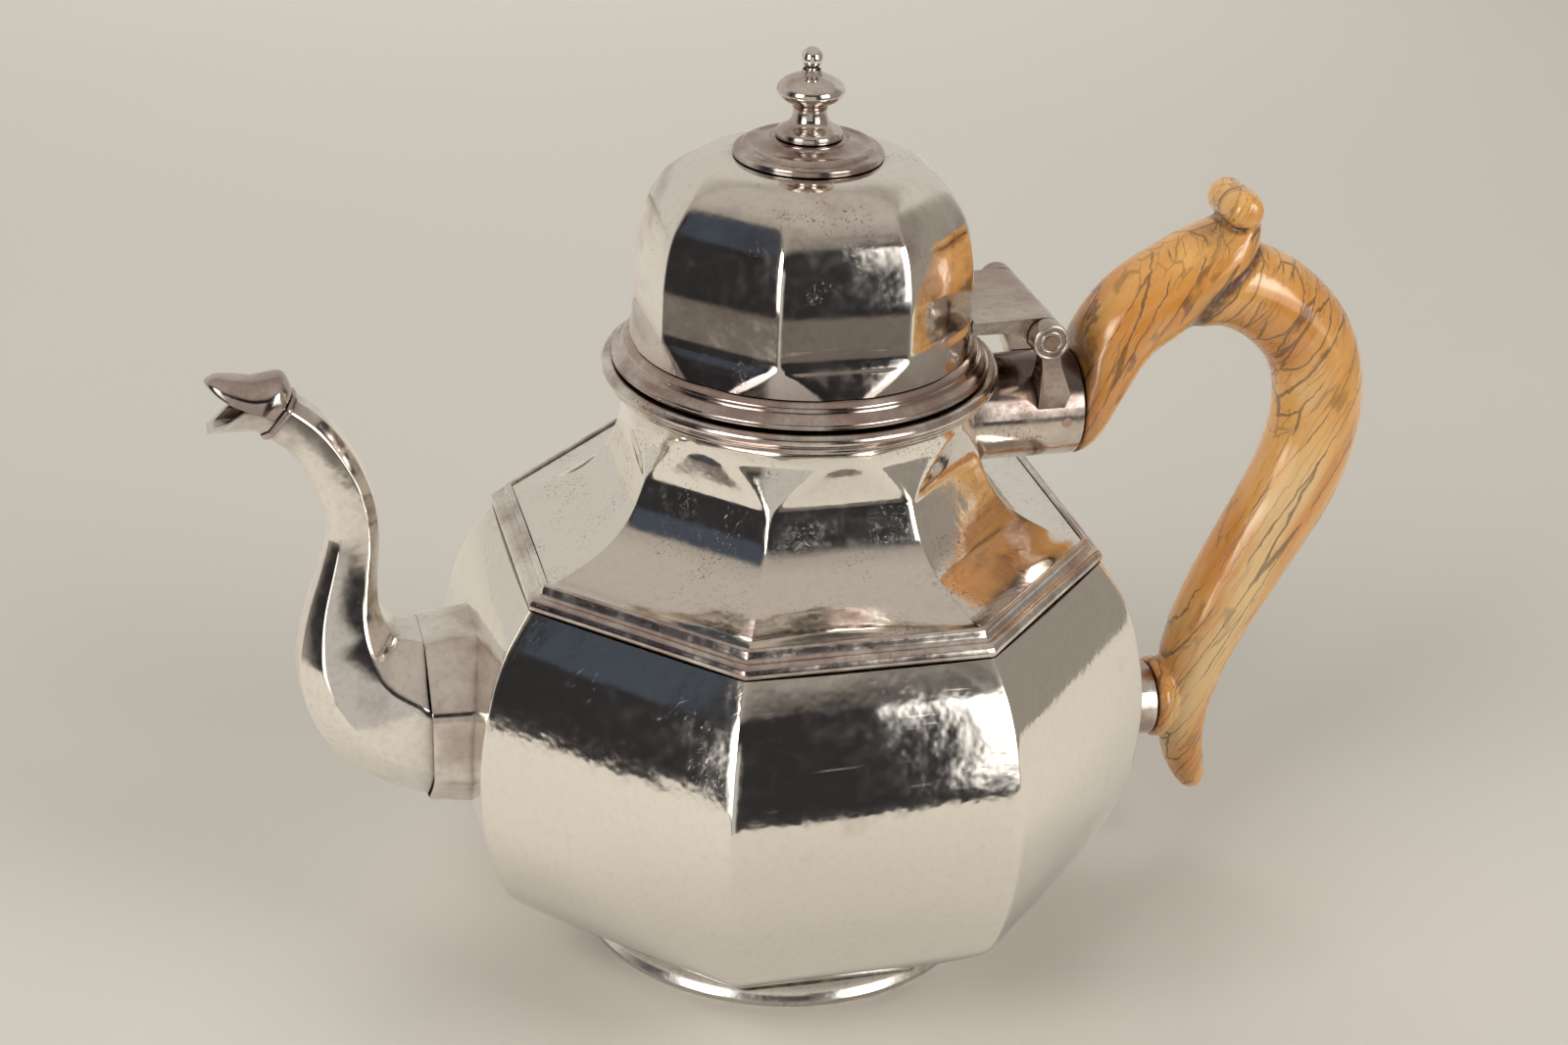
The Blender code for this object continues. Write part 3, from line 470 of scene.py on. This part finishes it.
def silver(name, tarnish=0.2, pits=0.0, wave=0.12, bright=(0.90, 0.86, 0.80), seam=2.5, dull=0.0,
           deep=0.0, dark=None, low=None):
    """Old polished silver: hammered undulation, fine scratches, brown pits and darkening in its seams.

    The wave's height and the seam's width are in mm. Deep paints shade into hollows. Dark gives the two
    heights between which the silver is painted darker upwards as shade, and low the two between which it turns
    tarnished downwards.
    """
    s = Shader(name)
    darkened = tarnished(s, tarnish, low)
    in_seam = s.ramp(s.crevice(seam), 0.82, 0.3)
    in_seam = s.math("MULTIPLY", in_seam, s.ramp(s.noise(0.5, 3), 0.2, 0.7, 0.6, 1.0))
    colour = s.mix(darkened, bright, TARNISH)
    specks = s.ramp(s.noise(0.8, 5, 0.65), 0.45, 0.75, 0, 0.07 + 0.25 * tarnish + 0.5 * dull)
    colour = s.mix(specks, colour, SPECK)
    if deep:
        colour = s.mix(s.ramp(s.crevice(HOLLOW_REACH), 0.86, 0.52, 0, deep), colour, SHADED_HOLLOW)
    # painted shade: the silver is darker towards the top, between the heights given by dark
    if dark:
        high = s.math("ADD", s.part("Z"), s.math("MULTIPLY", s.noise(0.25, 4, 0.6), 10))
        colour = s.mix(s.ramp(high, *dark, 0, 0.88), colour, PAINTED_TOP_SHADE)
    colour = s.mix(in_seam, colour, SEAM_DIRT)

    scratches = scratched(s)
    smooth, worn = 0.06 + 0.25 * dull, 0.12 + 0.12 * tarnish + 0.3 * dull
    rough = s.ramp(s.noise(0.35, 5, 0.65), 0.35, 0.8, smooth, worn)
    rough = s.math("ADD", rough, s.math("MULTIPLY", scratches, 0.15))
    rough = s.math("ADD", rough, s.math("MULTIPLY", in_seam, 0.3))
    if pits:
        where = s.ramp(s.noise(0.11, 2), 0.60 - pits, 0.66)
        spots = s.math("MULTIPLY", s.ramp(s.noise(1.9, 4, 0.7), 0.57, 0.64), where)
        colour = s.mix(s.math("MULTIPLY", spots, 0.85), colour, PIT)
        rough = s.math("ADD", rough, s.math("MULTIPLY", spots, 0.3))
    s.feed(s.surface.inputs["Base Color"], colour)
    s.feed(s.surface.inputs["Roughness"], rough)
    s.surface.inputs["Metallic"].default_value = 1.0

    normal = s.bump(s.noise(0.055, 1.5, 0.4), wave)
    normal = s.bump(s.noise(0.11, 3, 0.6), 0.6 * wave, normal)
    normal = s.bump(s.noise(0.5, 2, 0.5), 0.004 + 0.03 * dull, normal)
    normal = s.bump(scratches, 0.004, normal)
    s.feed(s.surface.inputs["Normal"], normal)
    return s.material


# ---------------------------------------------------------------- pot
def make_body():
    shell("lower_bowl", BOWL, "pot", silver("bowl silver", 0.1, wave=0.16), BOWL_BULGE)
    shell("shoulder_shell", SHOULDER, "pot", silver("shoulder silver", 0.2, pits=0.14), SHOULDER_BULGE)
    moulding("girdle_moulding", GIRDLE, "pot", silver("girdle silver", 0.6, dull=0.3), octagonal=True)
    moulding("rim_ring", RIM, "pot", silver("rim silver", 0.65, pits=0.06, dull=0.15))
    moulding("foot_ring", FOOT, "pot", silver("foot silver", 0.25, dull=0.5, seam=1.0), parts=1)


def octagon_section(bearings):
    """Points round a unit octagon with corners at these bearings, with full sides and eased corners."""
    corners = []
    for start, order in ((0, 1), (180, -1), (180, 1), (360, -1)):
        for bearing in bearings[::order]:
            turn = math.radians(start + order * bearing)
            corners.append((math.cos(turn), math.sin(turn)))
    corners = np.array(corners)
    points = []
    for a, b in zip(corners, np.roll(corners, -1, axis=0)):
        side = b - a
        outward = np.array([side[1], -side[0]])
        for k in range(SECTION_PARTS):
            t = 0.5 - (0.5 - CORNER_CUT) * math.cos(math.pi * k / (SECTION_PARTS - 1))
            points.append(a + side * t + outward * SIDE_FULLNESS * 4 * t * (1 - t))
    return np.array(points)


def spout_ring(x, height, heading, radius, breadth):
    """The spout's octagonal section at a station of its route."""
    turn = math.radians(heading)
    across = np.array([math.cos(turn), 0, math.sin(turn)])
    regular, broad = SPOUT_CORNERS
    section = octagon_section([low + (high - low) * breadth for low, high in zip(regular, broad)])
    side = np.array([0, 1, 0])
    return np.array([x, 0, height]) + radius * (section[:, :1] * across + section[:, 1:] * side)


def make_spout():
    route = between(SPOUT, SPOUT_PARTS)
    rings = [spout_ring(*station) for station in route]
    for x, z, heading, radius, breadth in route[::-1]:
        rings.append(spout_ring(x, z, heading, radius - WALL, breadth))    # the bore, back from the bill
    spout = made("spout_tube", rings, "pot", ["spout_tube"], silver("spout silver", 0.32, dull=0.1, deep=1.0),
                 closed=True)
    bill = guide("bill_guide", [[(x, y, z) for x, z in BILL_CUT] for y in (-BILL_HALF, BILL_HALF)])
    skin = skin_guide(between(BOWL, SKIN_PARTS))
    carve(spout, bill)
    carve(spout, skin)

    rings = [spout_ring(x, COLLAR_Z, 90, radius, 0) for x, radius in COLLAR + COLLAR_BORE]
    collar = made("spout_collar", rings, "pot", ["spout_collar"], silver("collar silver", 0.45, dull=0.1),
                  closed=True)
    carve(collar, skin)
    for solid in (bill, skin):
        bpy.data.objects.remove(solid)

    x, z, heading = NECK_BAND
    forward = np.array([-math.sin(math.radians(heading)), math.cos(math.radians(heading))])
    rings = []
    for along, radius in around(NECK_BAND_SECTION, 2):
        rings.append(spout_ring(x + forward[0] * along, z + forward[1] * along, heading, radius, 1))
    made("spout_neck_band", rings, "pot", ["spout_neck_band"], silver("band silver", 0.6, dull=0.1),
         closed=True)


def bake(piece, sharp=SHARP):
    """Applies a piece's modifiers to its mesh."""
    evaluated = piece.evaluated_get(bpy.context.evaluated_depsgraph_get())
    piece.data = bpy.data.meshes.new_from_object(evaluated)
    piece.modifiers.clear()
    piece.data.shade_smooth()
    piece.data.set_sharp_from_angle(angle=math.radians(sharp))


def carve(piece, cutter, operation="DIFFERENCE"):
    step = piece.modifiers.new(cutter.name, "BOOLEAN")
    step.operation = operation
    step.object = cutter
    bake(piece)


def hood_arch(side, crest, half, depth):
    """An arch from one side point over the crest to the other, moved in by a depth."""
    rise = Vector((crest[0] - side[0], 0, crest[1] - side[1]))
    height = max(rise.length - depth, 0.05)
    width = max(half - depth, 0.05)
    points = []
    for k in range(ARCH_STEPS + 1):
        angle = math.pi * k / ARCH_STEPS
        reach = math.copysign(abs(math.cos(angle)) ** ARCH_POWER, math.cos(angle))
        lift = rise.normalized() * height * math.sin(angle) ** ARCH_POWER
        points.append((side[0] + lift.x, width * reach, side[1] + lift.z))
    return points


def make_hood():
    flat = [(*side, *crest, half) for side, crest, half in HOOD]
    rings = []
    for x0, z0, x1, z1, half in between(flat, HOOD_PARTS):
        depth = min(HOOD_WALL, 0.6 * half)
        outside = hood_arch((x0, z0), (x1, z1), half, 0)
        rings.append(outside + hood_arch((x0, z0), (x1, z1), half, depth)[::-1])
    made("spout_hood", rings, "pot", ["spout_hood"], silver("hood silver", 0.6, dull=0.15), caps=True,
         sharp=HOOD_SHARP)


# ---------------------------------------------------------------- lid
def make_lid():
    shell("lid_dome", DOME, "lid", silver("dome silver", 0.3, pits=0.02, low=(118, 130)), DOME_BULGE)
    moulding("lid_flange", FLANGE, "lid", silver("flange silver", 0.8, dull=0.15))
    moulding("finial_plate", FINIAL_PLATE, "lid", silver("plate silver", 0.8, dull=0.2, pits=0.05))
    moulding("finial_knob", FINIAL_KNOB, "lid", silver("knob silver", 0.6, pits=0.12, dull=0.15),
             steps=KNOB_STEPS)
    outline = [(0.05, STUD_BOTTOM), (STUD_R, STUD_BOTTOM), (STUD_R, STUD_TOP)]
    outline.append((STUD_NECK_R, STUD_TOP + STUD_NECK))
    for angle in np.radians(np.linspace(BALL_FROM, BALL_TO, BALL_STEPS)):
        outline.append((BALL_R * math.cos(angle), BALL_Z + BALL_R * math.sin(angle)))
    rings = [level_ring(radius, height, 1, circle(STUD_STEPS)) for radius, height in outline]
    made("finial_stud", rings, "lid", ["finial_stud"], silver("stud silver", 0.4), caps=True)


# ---------------------------------------------------------------- handle
def limb_ring(x, height, heading, radius, breadth):
    turn = math.radians(heading)
    angles = circle(LIMB_STEPS)
    along = radius * np.cos(angles)
    across = breadth * radius * np.sin(angles)
    return np.stack([x + along * math.cos(turn), across, height + along * math.sin(turn)], axis=1)


def limb(name, stations):
    return guide(name, [limb_ring(*station) for station in between(stations, LIMB_PARTS)])


def disc_along_x(x, radius, axis_z, steps):
    """A circle of points round an axis along X."""
    return [(x, radius * math.sin(a), axis_z + radius * math.cos(a)) for a in circle(steps)]


def disc_along_y(x, y, z, radius, steps):
    """A circle of points round an axis along Y."""
    return [(x + radius * math.cos(a), y, z + radius * math.sin(a)) for a in circle(steps)]


def roll():
    """The rolled end of the tongue, rounded over at its ends."""
    profile = ROLL_END + [(-y, radius) for y, radius in ROLL_END[-2::-1]]
    rings = []
    for y, radius in between(profile, RING_PARTS):
        rings.append(disc_along_y(ROLL_X, y * ROLL_HALF, ROLL_Z, radius * ROLL_R, CARVED_STEPS))
    return guide("roll", rings)


def boss():
    return guide("boss", [disc_along_x(x, radius, LOWER_SOCKET_Z, CARVED_STEPS) for x, radius in BOSS])


GRAIN_TURN = -27                     # the grain's lean from upright, in degrees
ORANGE, HONEY = (0.71, 0.30, 0.062), (0.87, 0.475, 0.14)
CREAM = (0.88, 0.66, 0.34)
THREAD = (0.50, 0.22, 0.06)
CRACK = (0.12, 0.065, 0.035)
IVORY_DIRT_AND_SHADE = (0.085, 0.03, 0.018)
# the cream streak down the lower limb: its slant, how far out it lies, how far it wanders, its half width from
# edge to core, and the heights between which it fades out upwards
STREAK_TURN, STREAK_AT, STREAK_WANDER = -18.7, 59.5, 9
STREAK_EDGE, STREAK_CORE, STREAK_END, STREAK_FULL = 5.5, 1.0, 96, 78


def ivory_colour(s, grain):
    """Honey to orange, with a cream streak and paler patches and fine threads along the grain."""
    broad = s.noise(0.05, 3, 0.55, s.mapped(grain, (1.3, 1.3, 0.45)))
    colour = s.mix(s.ramp(broad, 0.38, 0.62), ORANGE, HONEY)
    out = s.part("X", s.mapped(s.place, (1, 1, 1), (0, math.radians(STREAK_TURN), 0)))
    wander = s.math("SUBTRACT", s.noise(0.16, 3, 0.6, s.mapped(grain, (1, 1, 0.3))), 0.5)
    wander = s.math("MULTIPLY", wander, STREAK_WANDER)
    away = s.math("ABSOLUTE", s.math("ADD", s.math("SUBTRACT", out, STREAK_AT), wander))
    streak = s.ramp(away, STREAK_EDGE, STREAK_CORE)
    cream = s.math("MULTIPLY", streak, s.ramp(s.part("Z"), STREAK_END, STREAK_FULL))
    patches = s.noise(0.11, 3, 0.6, s.mapped(grain, (1, 1, 0.25)))
    cream = s.math("MAXIMUM", cream, s.ramp(patches, 0.56, 0.74, 0, 0.6))
    colour = s.mix(s.math("MULTIPLY", cream, 0.75), colour, CREAM)
    threads = s.noise(1.3, 2, 0.6, s.mapped(grain, (1, 1, 0.05)))
    return s.mix(s.ramp(threads, 0.5, 0.78, 0, 0.35), colour, THREAD)


def cracked(s, grain):
    """1 in jagged hairline cracks that run with the grain, in patches."""
    shake = s.nodes.new("ShaderNodeTexNoise")
    shake.inputs["Scale"].default_value = 0.55
    shake.inputs["Detail"].default_value = 3
    s.links.new(s.mapped(grain, (1, 1, 0.5)), shake.inputs["Vector"])
    jagged = s.nodes.new("ShaderNodeVectorMath")
    jagged.operation = "MULTIPLY_ADD"
    s.links.new(shake.outputs["Color"], jagged.inputs[0])
    jagged.inputs[1].default_value = (1.3, 1.3, 0)
    s.links.new(grain, jagged.inputs[2])
    jagged = jagged.outputs["Vector"]
    wide = s.cells(0.26, s.mapped(jagged, (1, 0.4, 0.03)), "DISTANCE_TO_EDGE")
    fine = s.cells(0.55, s.mapped(jagged, (1, 0.4, 0.04)), "DISTANCE_TO_EDGE")
    where_wide = s.ramp(s.noise(0.12, 3, vector=s.mapped(grain, (1, 1, 0.6))), 0.40, 0.48)
    where_fine = s.ramp(s.noise(0.16, 3, vector=s.mapped(grain, (1, 1, 0.7))), 0.44, 0.54)
    cracks = s.math("MULTIPLY", s.ramp(wide, 0.036, 0.014), where_wide)
    hairs = s.math("MULTIPLY", s.ramp(fine, 0.05, 0.018), where_fine)
    return s.math("MAXIMUM", cracks, s.math("MULTIPLY", hairs, 0.55))


def ivory():
    """Old glossy ivory, cracked along its grain, stained in its hollows and with painted shade under the roll.
    """
    s = Shader("ivory")
    grain = s.mapped(s.place, (1, 1, 1), (0, math.radians(GRAIN_TURN), 0))    # its Z runs with the grain
    colour = ivory_colour(s, grain)
    cracks = cracked(s, grain)
    colour = s.mix(s.math("MULTIPLY", cracks, 0.72), colour, CRACK)
    # dirt in crevices, together with the painted shade under the roll that the per-point values carry
    dirt_and_shade = s.math("MAXIMUM", s.ramp(s.crevice(3.0), 0.72, 0.25), s.worn("stain_and_shade"))
    dirt_and_shade = s.math("MULTIPLY", dirt_and_shade, s.ramp(s.noise(0.7, 4), 0.25, 0.6, 0.55, 1.0))
    colour = s.mix(dirt_and_shade, colour, IVORY_DIRT_AND_SHADE)
    s.feed(s.surface.inputs["Base Color"], colour)
    rough = s.ramp(s.noise(0.3, 4), 0.3, 0.8, 0.12, 0.24)
    s.feed(s.surface.inputs["Roughness"], s.math("ADD", rough, s.math("MULTIPLY", dirt_and_shade, 0.3)))
    uniform = {
        "Specular IOR Level": 0.8, "Subsurface Weight": 0.15, "Subsurface Radius": (1.0, 0.5, 0.2),
        "Subsurface Scale": 0.002, "Coat Weight": 0.4, "Coat Roughness": 0.06,
    }
    for socket, value in uniform.items():
        s.surface.inputs[socket].default_value = value
    normal = s.bump(s.noise(0.12, 2), 0.12)
    normal = s.bump(s.math("SUBTRACT", 1.0, cracks), 0.05, normal)
    s.feed(s.surface.inputs["Normal"], normal)
    return s.material


def fading(distance, width):
    """1 at no distance, falling off as a bell of this width."""
    return math.exp(-(distance / width) ** 2)


def stain_and_shade(piece, near):
    """Darkens and deepens where a carving's parts meet, darkens by the socket and paints shade under the roll.
    """
    data = piece.data
    marks = data.attributes.new("stain_and_shade", "FLOAT", "POINT")
    moved = []
    for k, vertex in enumerate(data.vertices):
        first, second, rolled = [tree.find_nearest(vertex.co)[3] / MM for tree in near]
        lip = max(first, second)
        place = vertex.co / MM - Vector((POT_X, 0, 0))
        if place.x < ROLL_X:
            lip = min(lip, max(first, rolled))
        bared = fading(max(lip - LIP_FROM, 0), LIP_WIDTH) if place.z > LIP_ABOVE else 0
        socket = SOCKET_STAIN * fading(place.x - SOCKET_STAIN_X, SOCKET_STAIN_WIDTH)
        # painted shade in the hollow under the roll
        hollow = HOLLOW_SHADE * fading((place - Vector(HOLLOW_SHADE_AT)).length, HOLLOW_SHADE_WIDTH)
        marks.data[k].value = min(1, max(bared, socket, hollow))
        moved.append(vertex.co - vertex.normal * bared * LIP_DEPTH * MM)
    for vertex, place in zip(data.vertices, moved):
        vertex.co = place


def make_handle():
    carving = limb("handle", FIRST_LIMB)
    parts = [limb("second_limb", SECOND_LIMB), roll(), boss()]
    graph = bpy.context.evaluated_depsgraph_get()
    near = [BVHTree.FromObject(part, graph) for part in (carving, *parts[:2])]
    for part in parts:
        carve(carving, part, "UNION")
        bpy.data.objects.remove(part)
    step = carving.modifiers.new("remesh", "REMESH")
    step.mode = "VOXEL"
    step.voxel_size = CARVING_VOXEL * MM
    step = carving.modifiers.new("smooth", "SMOOTH")
    step.factor = 0.5
    step.iterations = 3
    bake(carving, ALL_SMOOTH)
    stain_and_shade(carving, near)
    carving.data.materials.clear()
    carving.data.materials.append(ivory())
    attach(carving, "pot")
    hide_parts("handle")


def make_sockets():
    """Two short tubes along X, cut to the pot's skin, that hold the ivory."""
    # dark paints shade on the upper socket's top, under the hinge
    upper = silver("upper socket silver", 0.45, pits=0.2, dull=0.3, dark=(101, 107), bright=(0.80, 0.72, 0.64))
    lower = silver("lower socket silver", 0.7, pits=0.1, dull=0.3)
    for name, outline, axis_z, material, against in (
            ("upper_socket", UPPER_SOCKET, UPPER_SOCKET_Z, upper, SHOULDER),
            ("lower_socket", LOWER_SOCKET, LOWER_SOCKET_Z, lower, BOWL)):
        rings = [disc_along_x(x, radius, axis_z, SOCKET_STEPS) for x, radius in outline]
        socket = made(name, rings, "pot", [name], material, caps=True)
        skin = skin_guide(against)
        carve(socket, skin)
        bpy.data.objects.remove(skin)


def make_hinge_end():
    """The turned rings on the near end of the hinge's barrel."""
    material = silver("hinge end silver", 0.5, dull=0.3)
    for name, radius, thick in HINGE_RINGS:
        rings = []
        for a in circle(HINGE_SECTION_STEPS):
            reach, out = radius + thick * math.cos(a), thick * math.sin(a)
            rings.append(disc_along_y(HINGE_X, -(HINGE_HALF + out), HINGE_Z, reach, HINGE_RING_STEPS))
        made(name, rings, "pot", [], material, closed=True)


# ---------------------------------------------------------------- pieces kept from the frame
def dress_frame():
    """Materials and eased edges for the CAD nodes that stay."""
    dress = {
        "hinge": silver("hinge silver", 0.6, dull=0.45, bright=(0.66, 0.59, 0.51)),
        "pin": silver("pin silver", 0.6, dull=0.3, bright=(0.75, 0.48, 0.26)),
        "inner": silver("inner silver", 0.5),
    }
    kept = {
        "upper_handle_pin": "pin", "lower_handle_pin": "pin", "hinge_pin": "pin",
        "hinge_knuckle_near": "hinge", "hinge_knuckle_far": "hinge", "hinge_leaf": "hinge",
        "lid_bezel": "inner", "finial_washer": "inner", "finial_nut": "inner",
    }
    for node, look in kept.items():
        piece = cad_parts[node]
        piece.data.materials.clear()
        piece.data.materials.append(dress[look])
        step = piece.modifiers.new("eased", "BEVEL")
        step.width = EASED * MM
        step.segments = 3
        step.angle_limit = math.radians(EASED_ABOVE)
        step.harden_normals = True


# ---------------------------------------------------------------- stage
CAMERA_AZIMUTH, CAMERA_ELEVATION, CAMERA_ROLL = -105.4, 26.34, 2.32
CAMERA_PLACE = (-0.1145, -0.3975, 0.2817)
CAMERA_LENS, CAMERA_SENSOR = 59.5, 36
FLOOR_HALF = 3.0
TABLE_FRONT, TABLE_LEFT, TABLE_RIGHT, TABLE_BACK, TABLE_BACK_HALF = 0.23, 0.24, 0.21, 1.2, 0.9
TABLE_DROP = 0.0003
LAMP_AIM = (0, 0, 0.06)
LAMP_TINT = (1, 0.985, 0.955)
LAMPS = [                            # name, azimuth, elevation, distance in m, size in m, power in W
    ("left", -150, 40, 1.1, (0.6, 0.6), 6.4), ("right", -40, 34, 1.1, (0.5, 0.6), 5.4),
    ("above", 80, 62, 1.6, (1.0, 0.8), 3.5), ("far", 85, 30, 1.2, (0.9, 0.4), 4.6),
]
# what the silver mirrors, painted in this order: colour, azimuths, elevations, soft edge in degrees
PATCHES = [
    ((0.60, 0.57, 0.52), (20, 165), (-90, 38), 14),               # paper behind
    ((0.030, 0.028, 0.030), (-182, -60), (-90, 34), 10),          # dark room in front
    ((0.17, 0.145, 0.125), (-182, -60), (-60, -17), 5),           # floor beyond the table
    ((0.06, 0.072, 0.095), (-174, -162), (20, 38), 6),            # a far window, left
    ((0.52, 0.495, 0.455), (-126, -87), (-90, 15), 7),            # paper under the camera
    ((1.6, 1.56, 1.48), (-156, -128), (-12, 32), 3),              # soft box, left, and its bright middle
    ((6.0, 5.85, 5.6), (-153, -131), (8, 30), 5),
    ((1.6, 1.56, 1.48), (-70, -40), (-10, 30), 3),                # soft box, right, and its bright middle
    ((6.0, 5.85, 5.6), (-66, -43), (4, 28), 5),
]
LOW_SKY, HIGH_SKY = (0.30, 0.27, 0.235), (0.50, 0.445, 0.40)
AMBIENT, BACKDROP = (0.10, 0.097, 0.094), (0.66, 0.63, 0.58)


def toward(azimuth, elevation):
    """The unit direction of an azimuth and elevation in radians."""
    level = math.cos(elevation)
    return Vector((math.cos(azimuth) * level, math.sin(azimuth) * level, math.sin(elevation)))


def sheet_of_paper(name, corners, shader):
    data = bpy.data.meshes.new(name)
    data.from_pydata(corners, [], [(0, 1, 2, 3)])
    sheet = bpy.data.objects.new(name, data)
    bpy.context.scene.collection.objects.link(sheet)
    data.materials.append(shader.material)
    return sheet


def make_floor():
    """A wide pale floor for the eye, and a table-sized sheet of the same paper for the silver to reflect."""
    paper = Shader("paper")
    shade = paper.mix(paper.noise(0.004, 2), (0.66, 0.625, 0.565), (0.69, 0.655, 0.595))
    paper.feed(paper.surface.inputs["Base Color"], shade)
    paper.surface.inputs["Roughness"].default_value = 0.9
    paper.surface.inputs["Specular IOR Level"].default_value = 0.1
    corners = [(x * FLOOR_HALF, y * FLOOR_HALF, 0) for x, y in ((-1, -1), (1, -1), (1, 1), (-1, 1))]
    wide = sheet_of_paper("floor", corners, paper)
    wide.visible_glossy = False
    wide.visible_shadow = False
    turn = math.radians(CAMERA_AZIMUTH)
    front = Vector((math.cos(turn), math.sin(turn), 0))
    right = Vector((-math.sin(turn), math.cos(turn), 0))
    corners = []
    for ahead, aside in ((TABLE_FRONT, -TABLE_LEFT), (TABLE_FRONT, TABLE_RIGHT),
                         (-TABLE_BACK, TABLE_BACK_HALF), (-TABLE_BACK, -TABLE_BACK_HALF)):
        corners.append(tuple(front * ahead + right * aside - Vector((0, 0, TABLE_DROP))))
    mirrored = Shader("mirrored paper")
    mirrored.surface.inputs["Base Color"].default_value = (0.93, 0.88, 0.80, 1)
    mirrored.surface.inputs["Roughness"].default_value = 0.9
    table = sheet_of_paper("table_sheet", corners, mirrored)
    table.visible_camera = False
    table.visible_diffuse = False
    table.visible_shadow = False


class Surroundings:
    """The room that the silver mirrors, painted by direction: azimuth and elevation in degrees."""

    def __init__(self):
        world = bpy.data.worlds.new("studio")
        world.use_nodes = True
        bpy.context.scene.world = world
        self.nodes, self.links = world.node_tree.nodes, world.node_tree.links
        self.background = self.nodes["Background"]
        coordinates = self.nodes.new("ShaderNodeTexCoord")
        parts = self.nodes.new("ShaderNodeSeparateXYZ")
        self.direction = coordinates.outputs["Generated"]
        self.links.new(self.direction, parts.inputs["Vector"])
        turn = self.math("ARCTAN2", parts.outputs["Y"], parts.outputs["X"])
        self.azimuth = self.math("MULTIPLY", turn, 180 / math.pi)
        rise = self.math("ARCSINE", parts.outputs["Z"])
        self.elevation = self.math("MULTIPLY", rise, 180 / math.pi)
        self.colour = None

    def math(self, operation, a, b=0.0, c=0.0):
        node = self.nodes.new("ShaderNodeMath")
        node.operation = operation
        for socket, value in zip(node.inputs, (a, b, c)):
            if isinstance(value, bpy.types.NodeSocket):
                self.links.new(value, socket)
            else:
                socket.default_value = value
        return node.outputs["Value"]

    def step(self, value, low, high):
        node = self.nodes.new("ShaderNodeMapRange")
        node.interpolation_type = "SMOOTHSTEP"
        self.links.new(value, node.inputs["Value"])
        node.inputs["From Min"].default_value = low
        node.inputs["From Max"].default_value = high
        return node.outputs["Result"]

    def mix(self, amount, a, b):
        node = self.nodes.new("ShaderNodeMix")
        node.data_type = "RGBA"
        for socket, value in (("Factor", amount), ("A", a), ("B", b)):
            if isinstance(value, bpy.types.NodeSocket):
                self.links.new(value, node.inputs[socket])
            else:
                node.inputs[socket].default_value = (*value, 1) if isinstance(value, tuple) else value
        return node.outputs["Result"]

    def patch(self, colour, azimuths, elevations, soft):
        """Paints a soft-edged rectangle; its azimuths run anticlockwise and may pass 180."""
        centre, half = sum(azimuths) / 2, (azimuths[1] - azimuths[0]) / 2
        away = self.math("SUBTRACT", self.azimuth, centre)
        away = self.math("ABSOLUTE", self.math("WRAP", away, 180.0, -180.0))
        level = self.math("ABSOLUTE", self.math("SUBTRACT", self.elevation, sum(elevations) / 2))
        inside = self.step(away, half + soft / 2, half - soft / 2)
        rise = (elevations[1] - elevations[0]) / 2
        inside = self.math("MULTIPLY", inside, self.step(level, rise + soft / 2, rise - soft / 2))
        self.colour = self.mix(inside, self.colour, colour)


def make_surroundings():
    """The silver mirrors the painted room; all else is lit by a dim even sky, seen as a pale backdrop."""
    room = Surroundings()
    room.colour = room.mix(room.step(room.elevation, 20, 60), LOW_SKY, HIGH_SKY)
    for patch in PATCHES:
        room.patch(*patch)
    path = room.nodes.new("ShaderNodeLightPath")
    ambient = room.mix(path.outputs["Is Camera Ray"], AMBIENT, BACKDROP)
    colour = room.mix(path.outputs["Is Glossy Ray"], ambient, room.colour)
    room.links.new(colour, room.background.inputs["Color"])


def make_lights():
    """Soft lamps for the floor and the ivory; the silver mirrors the painted ones instead."""
    for name, azimuth, elevation, distance, size, power in LAMPS:
        data = bpy.data.lights.new(name, "AREA")
        data.shape = "RECTANGLE"
        data.size, data.size_y = size
        data.energy = power
        data.color = LAMP_TINT
        lamp = bpy.data.objects.new(name, data)
        lamp.location = toward(math.radians(azimuth), math.radians(elevation)) * distance
        lamp.rotation_mode = "QUATERNION"
        lamp.rotation_quaternion = (Vector(LAMP_AIM) - lamp.location).to_track_quat("-Z", "Y")
        bpy.context.scene.collection.objects.link(lamp)
        lamp.visible_glossy = False


def make_camera():
    azimuth, roll_angle = math.radians(CAMERA_AZIMUTH), math.radians(CAMERA_ROLL)
    back = toward(azimuth, math.radians(CAMERA_ELEVATION))
    right = Vector((-math.sin(azimuth), math.cos(azimuth), 0))
    up = back.cross(right)
    turned_right = right * math.cos(roll_angle) + up * math.sin(roll_angle)
    turned_up = up * math.cos(roll_angle) - right * math.sin(roll_angle)
    data = bpy.data.cameras.new("camera")
    data.lens = CAMERA_LENS
    data.sensor_width = CAMERA_SENSOR
    data.clip_start = 0.01
    camera = bpy.data.objects.new("camera", data)
    turned = Matrix((turned_right, turned_up, back)).transposed().to_4x4()
    camera.matrix_world = Matrix.Translation(CAMERA_PLACE) @ turned
    bpy.context.scene.collection.objects.link(camera)
    bpy.context.scene.camera = camera
    bpy.context.scene.view_settings.view_transform = "Standard"


make_camera()
make_body()
make_spout()
make_hood()
make_lid()
make_handle()
make_sockets()
make_hinge_end()
dress_frame()
make_floor()
make_surroundings()
make_lights()
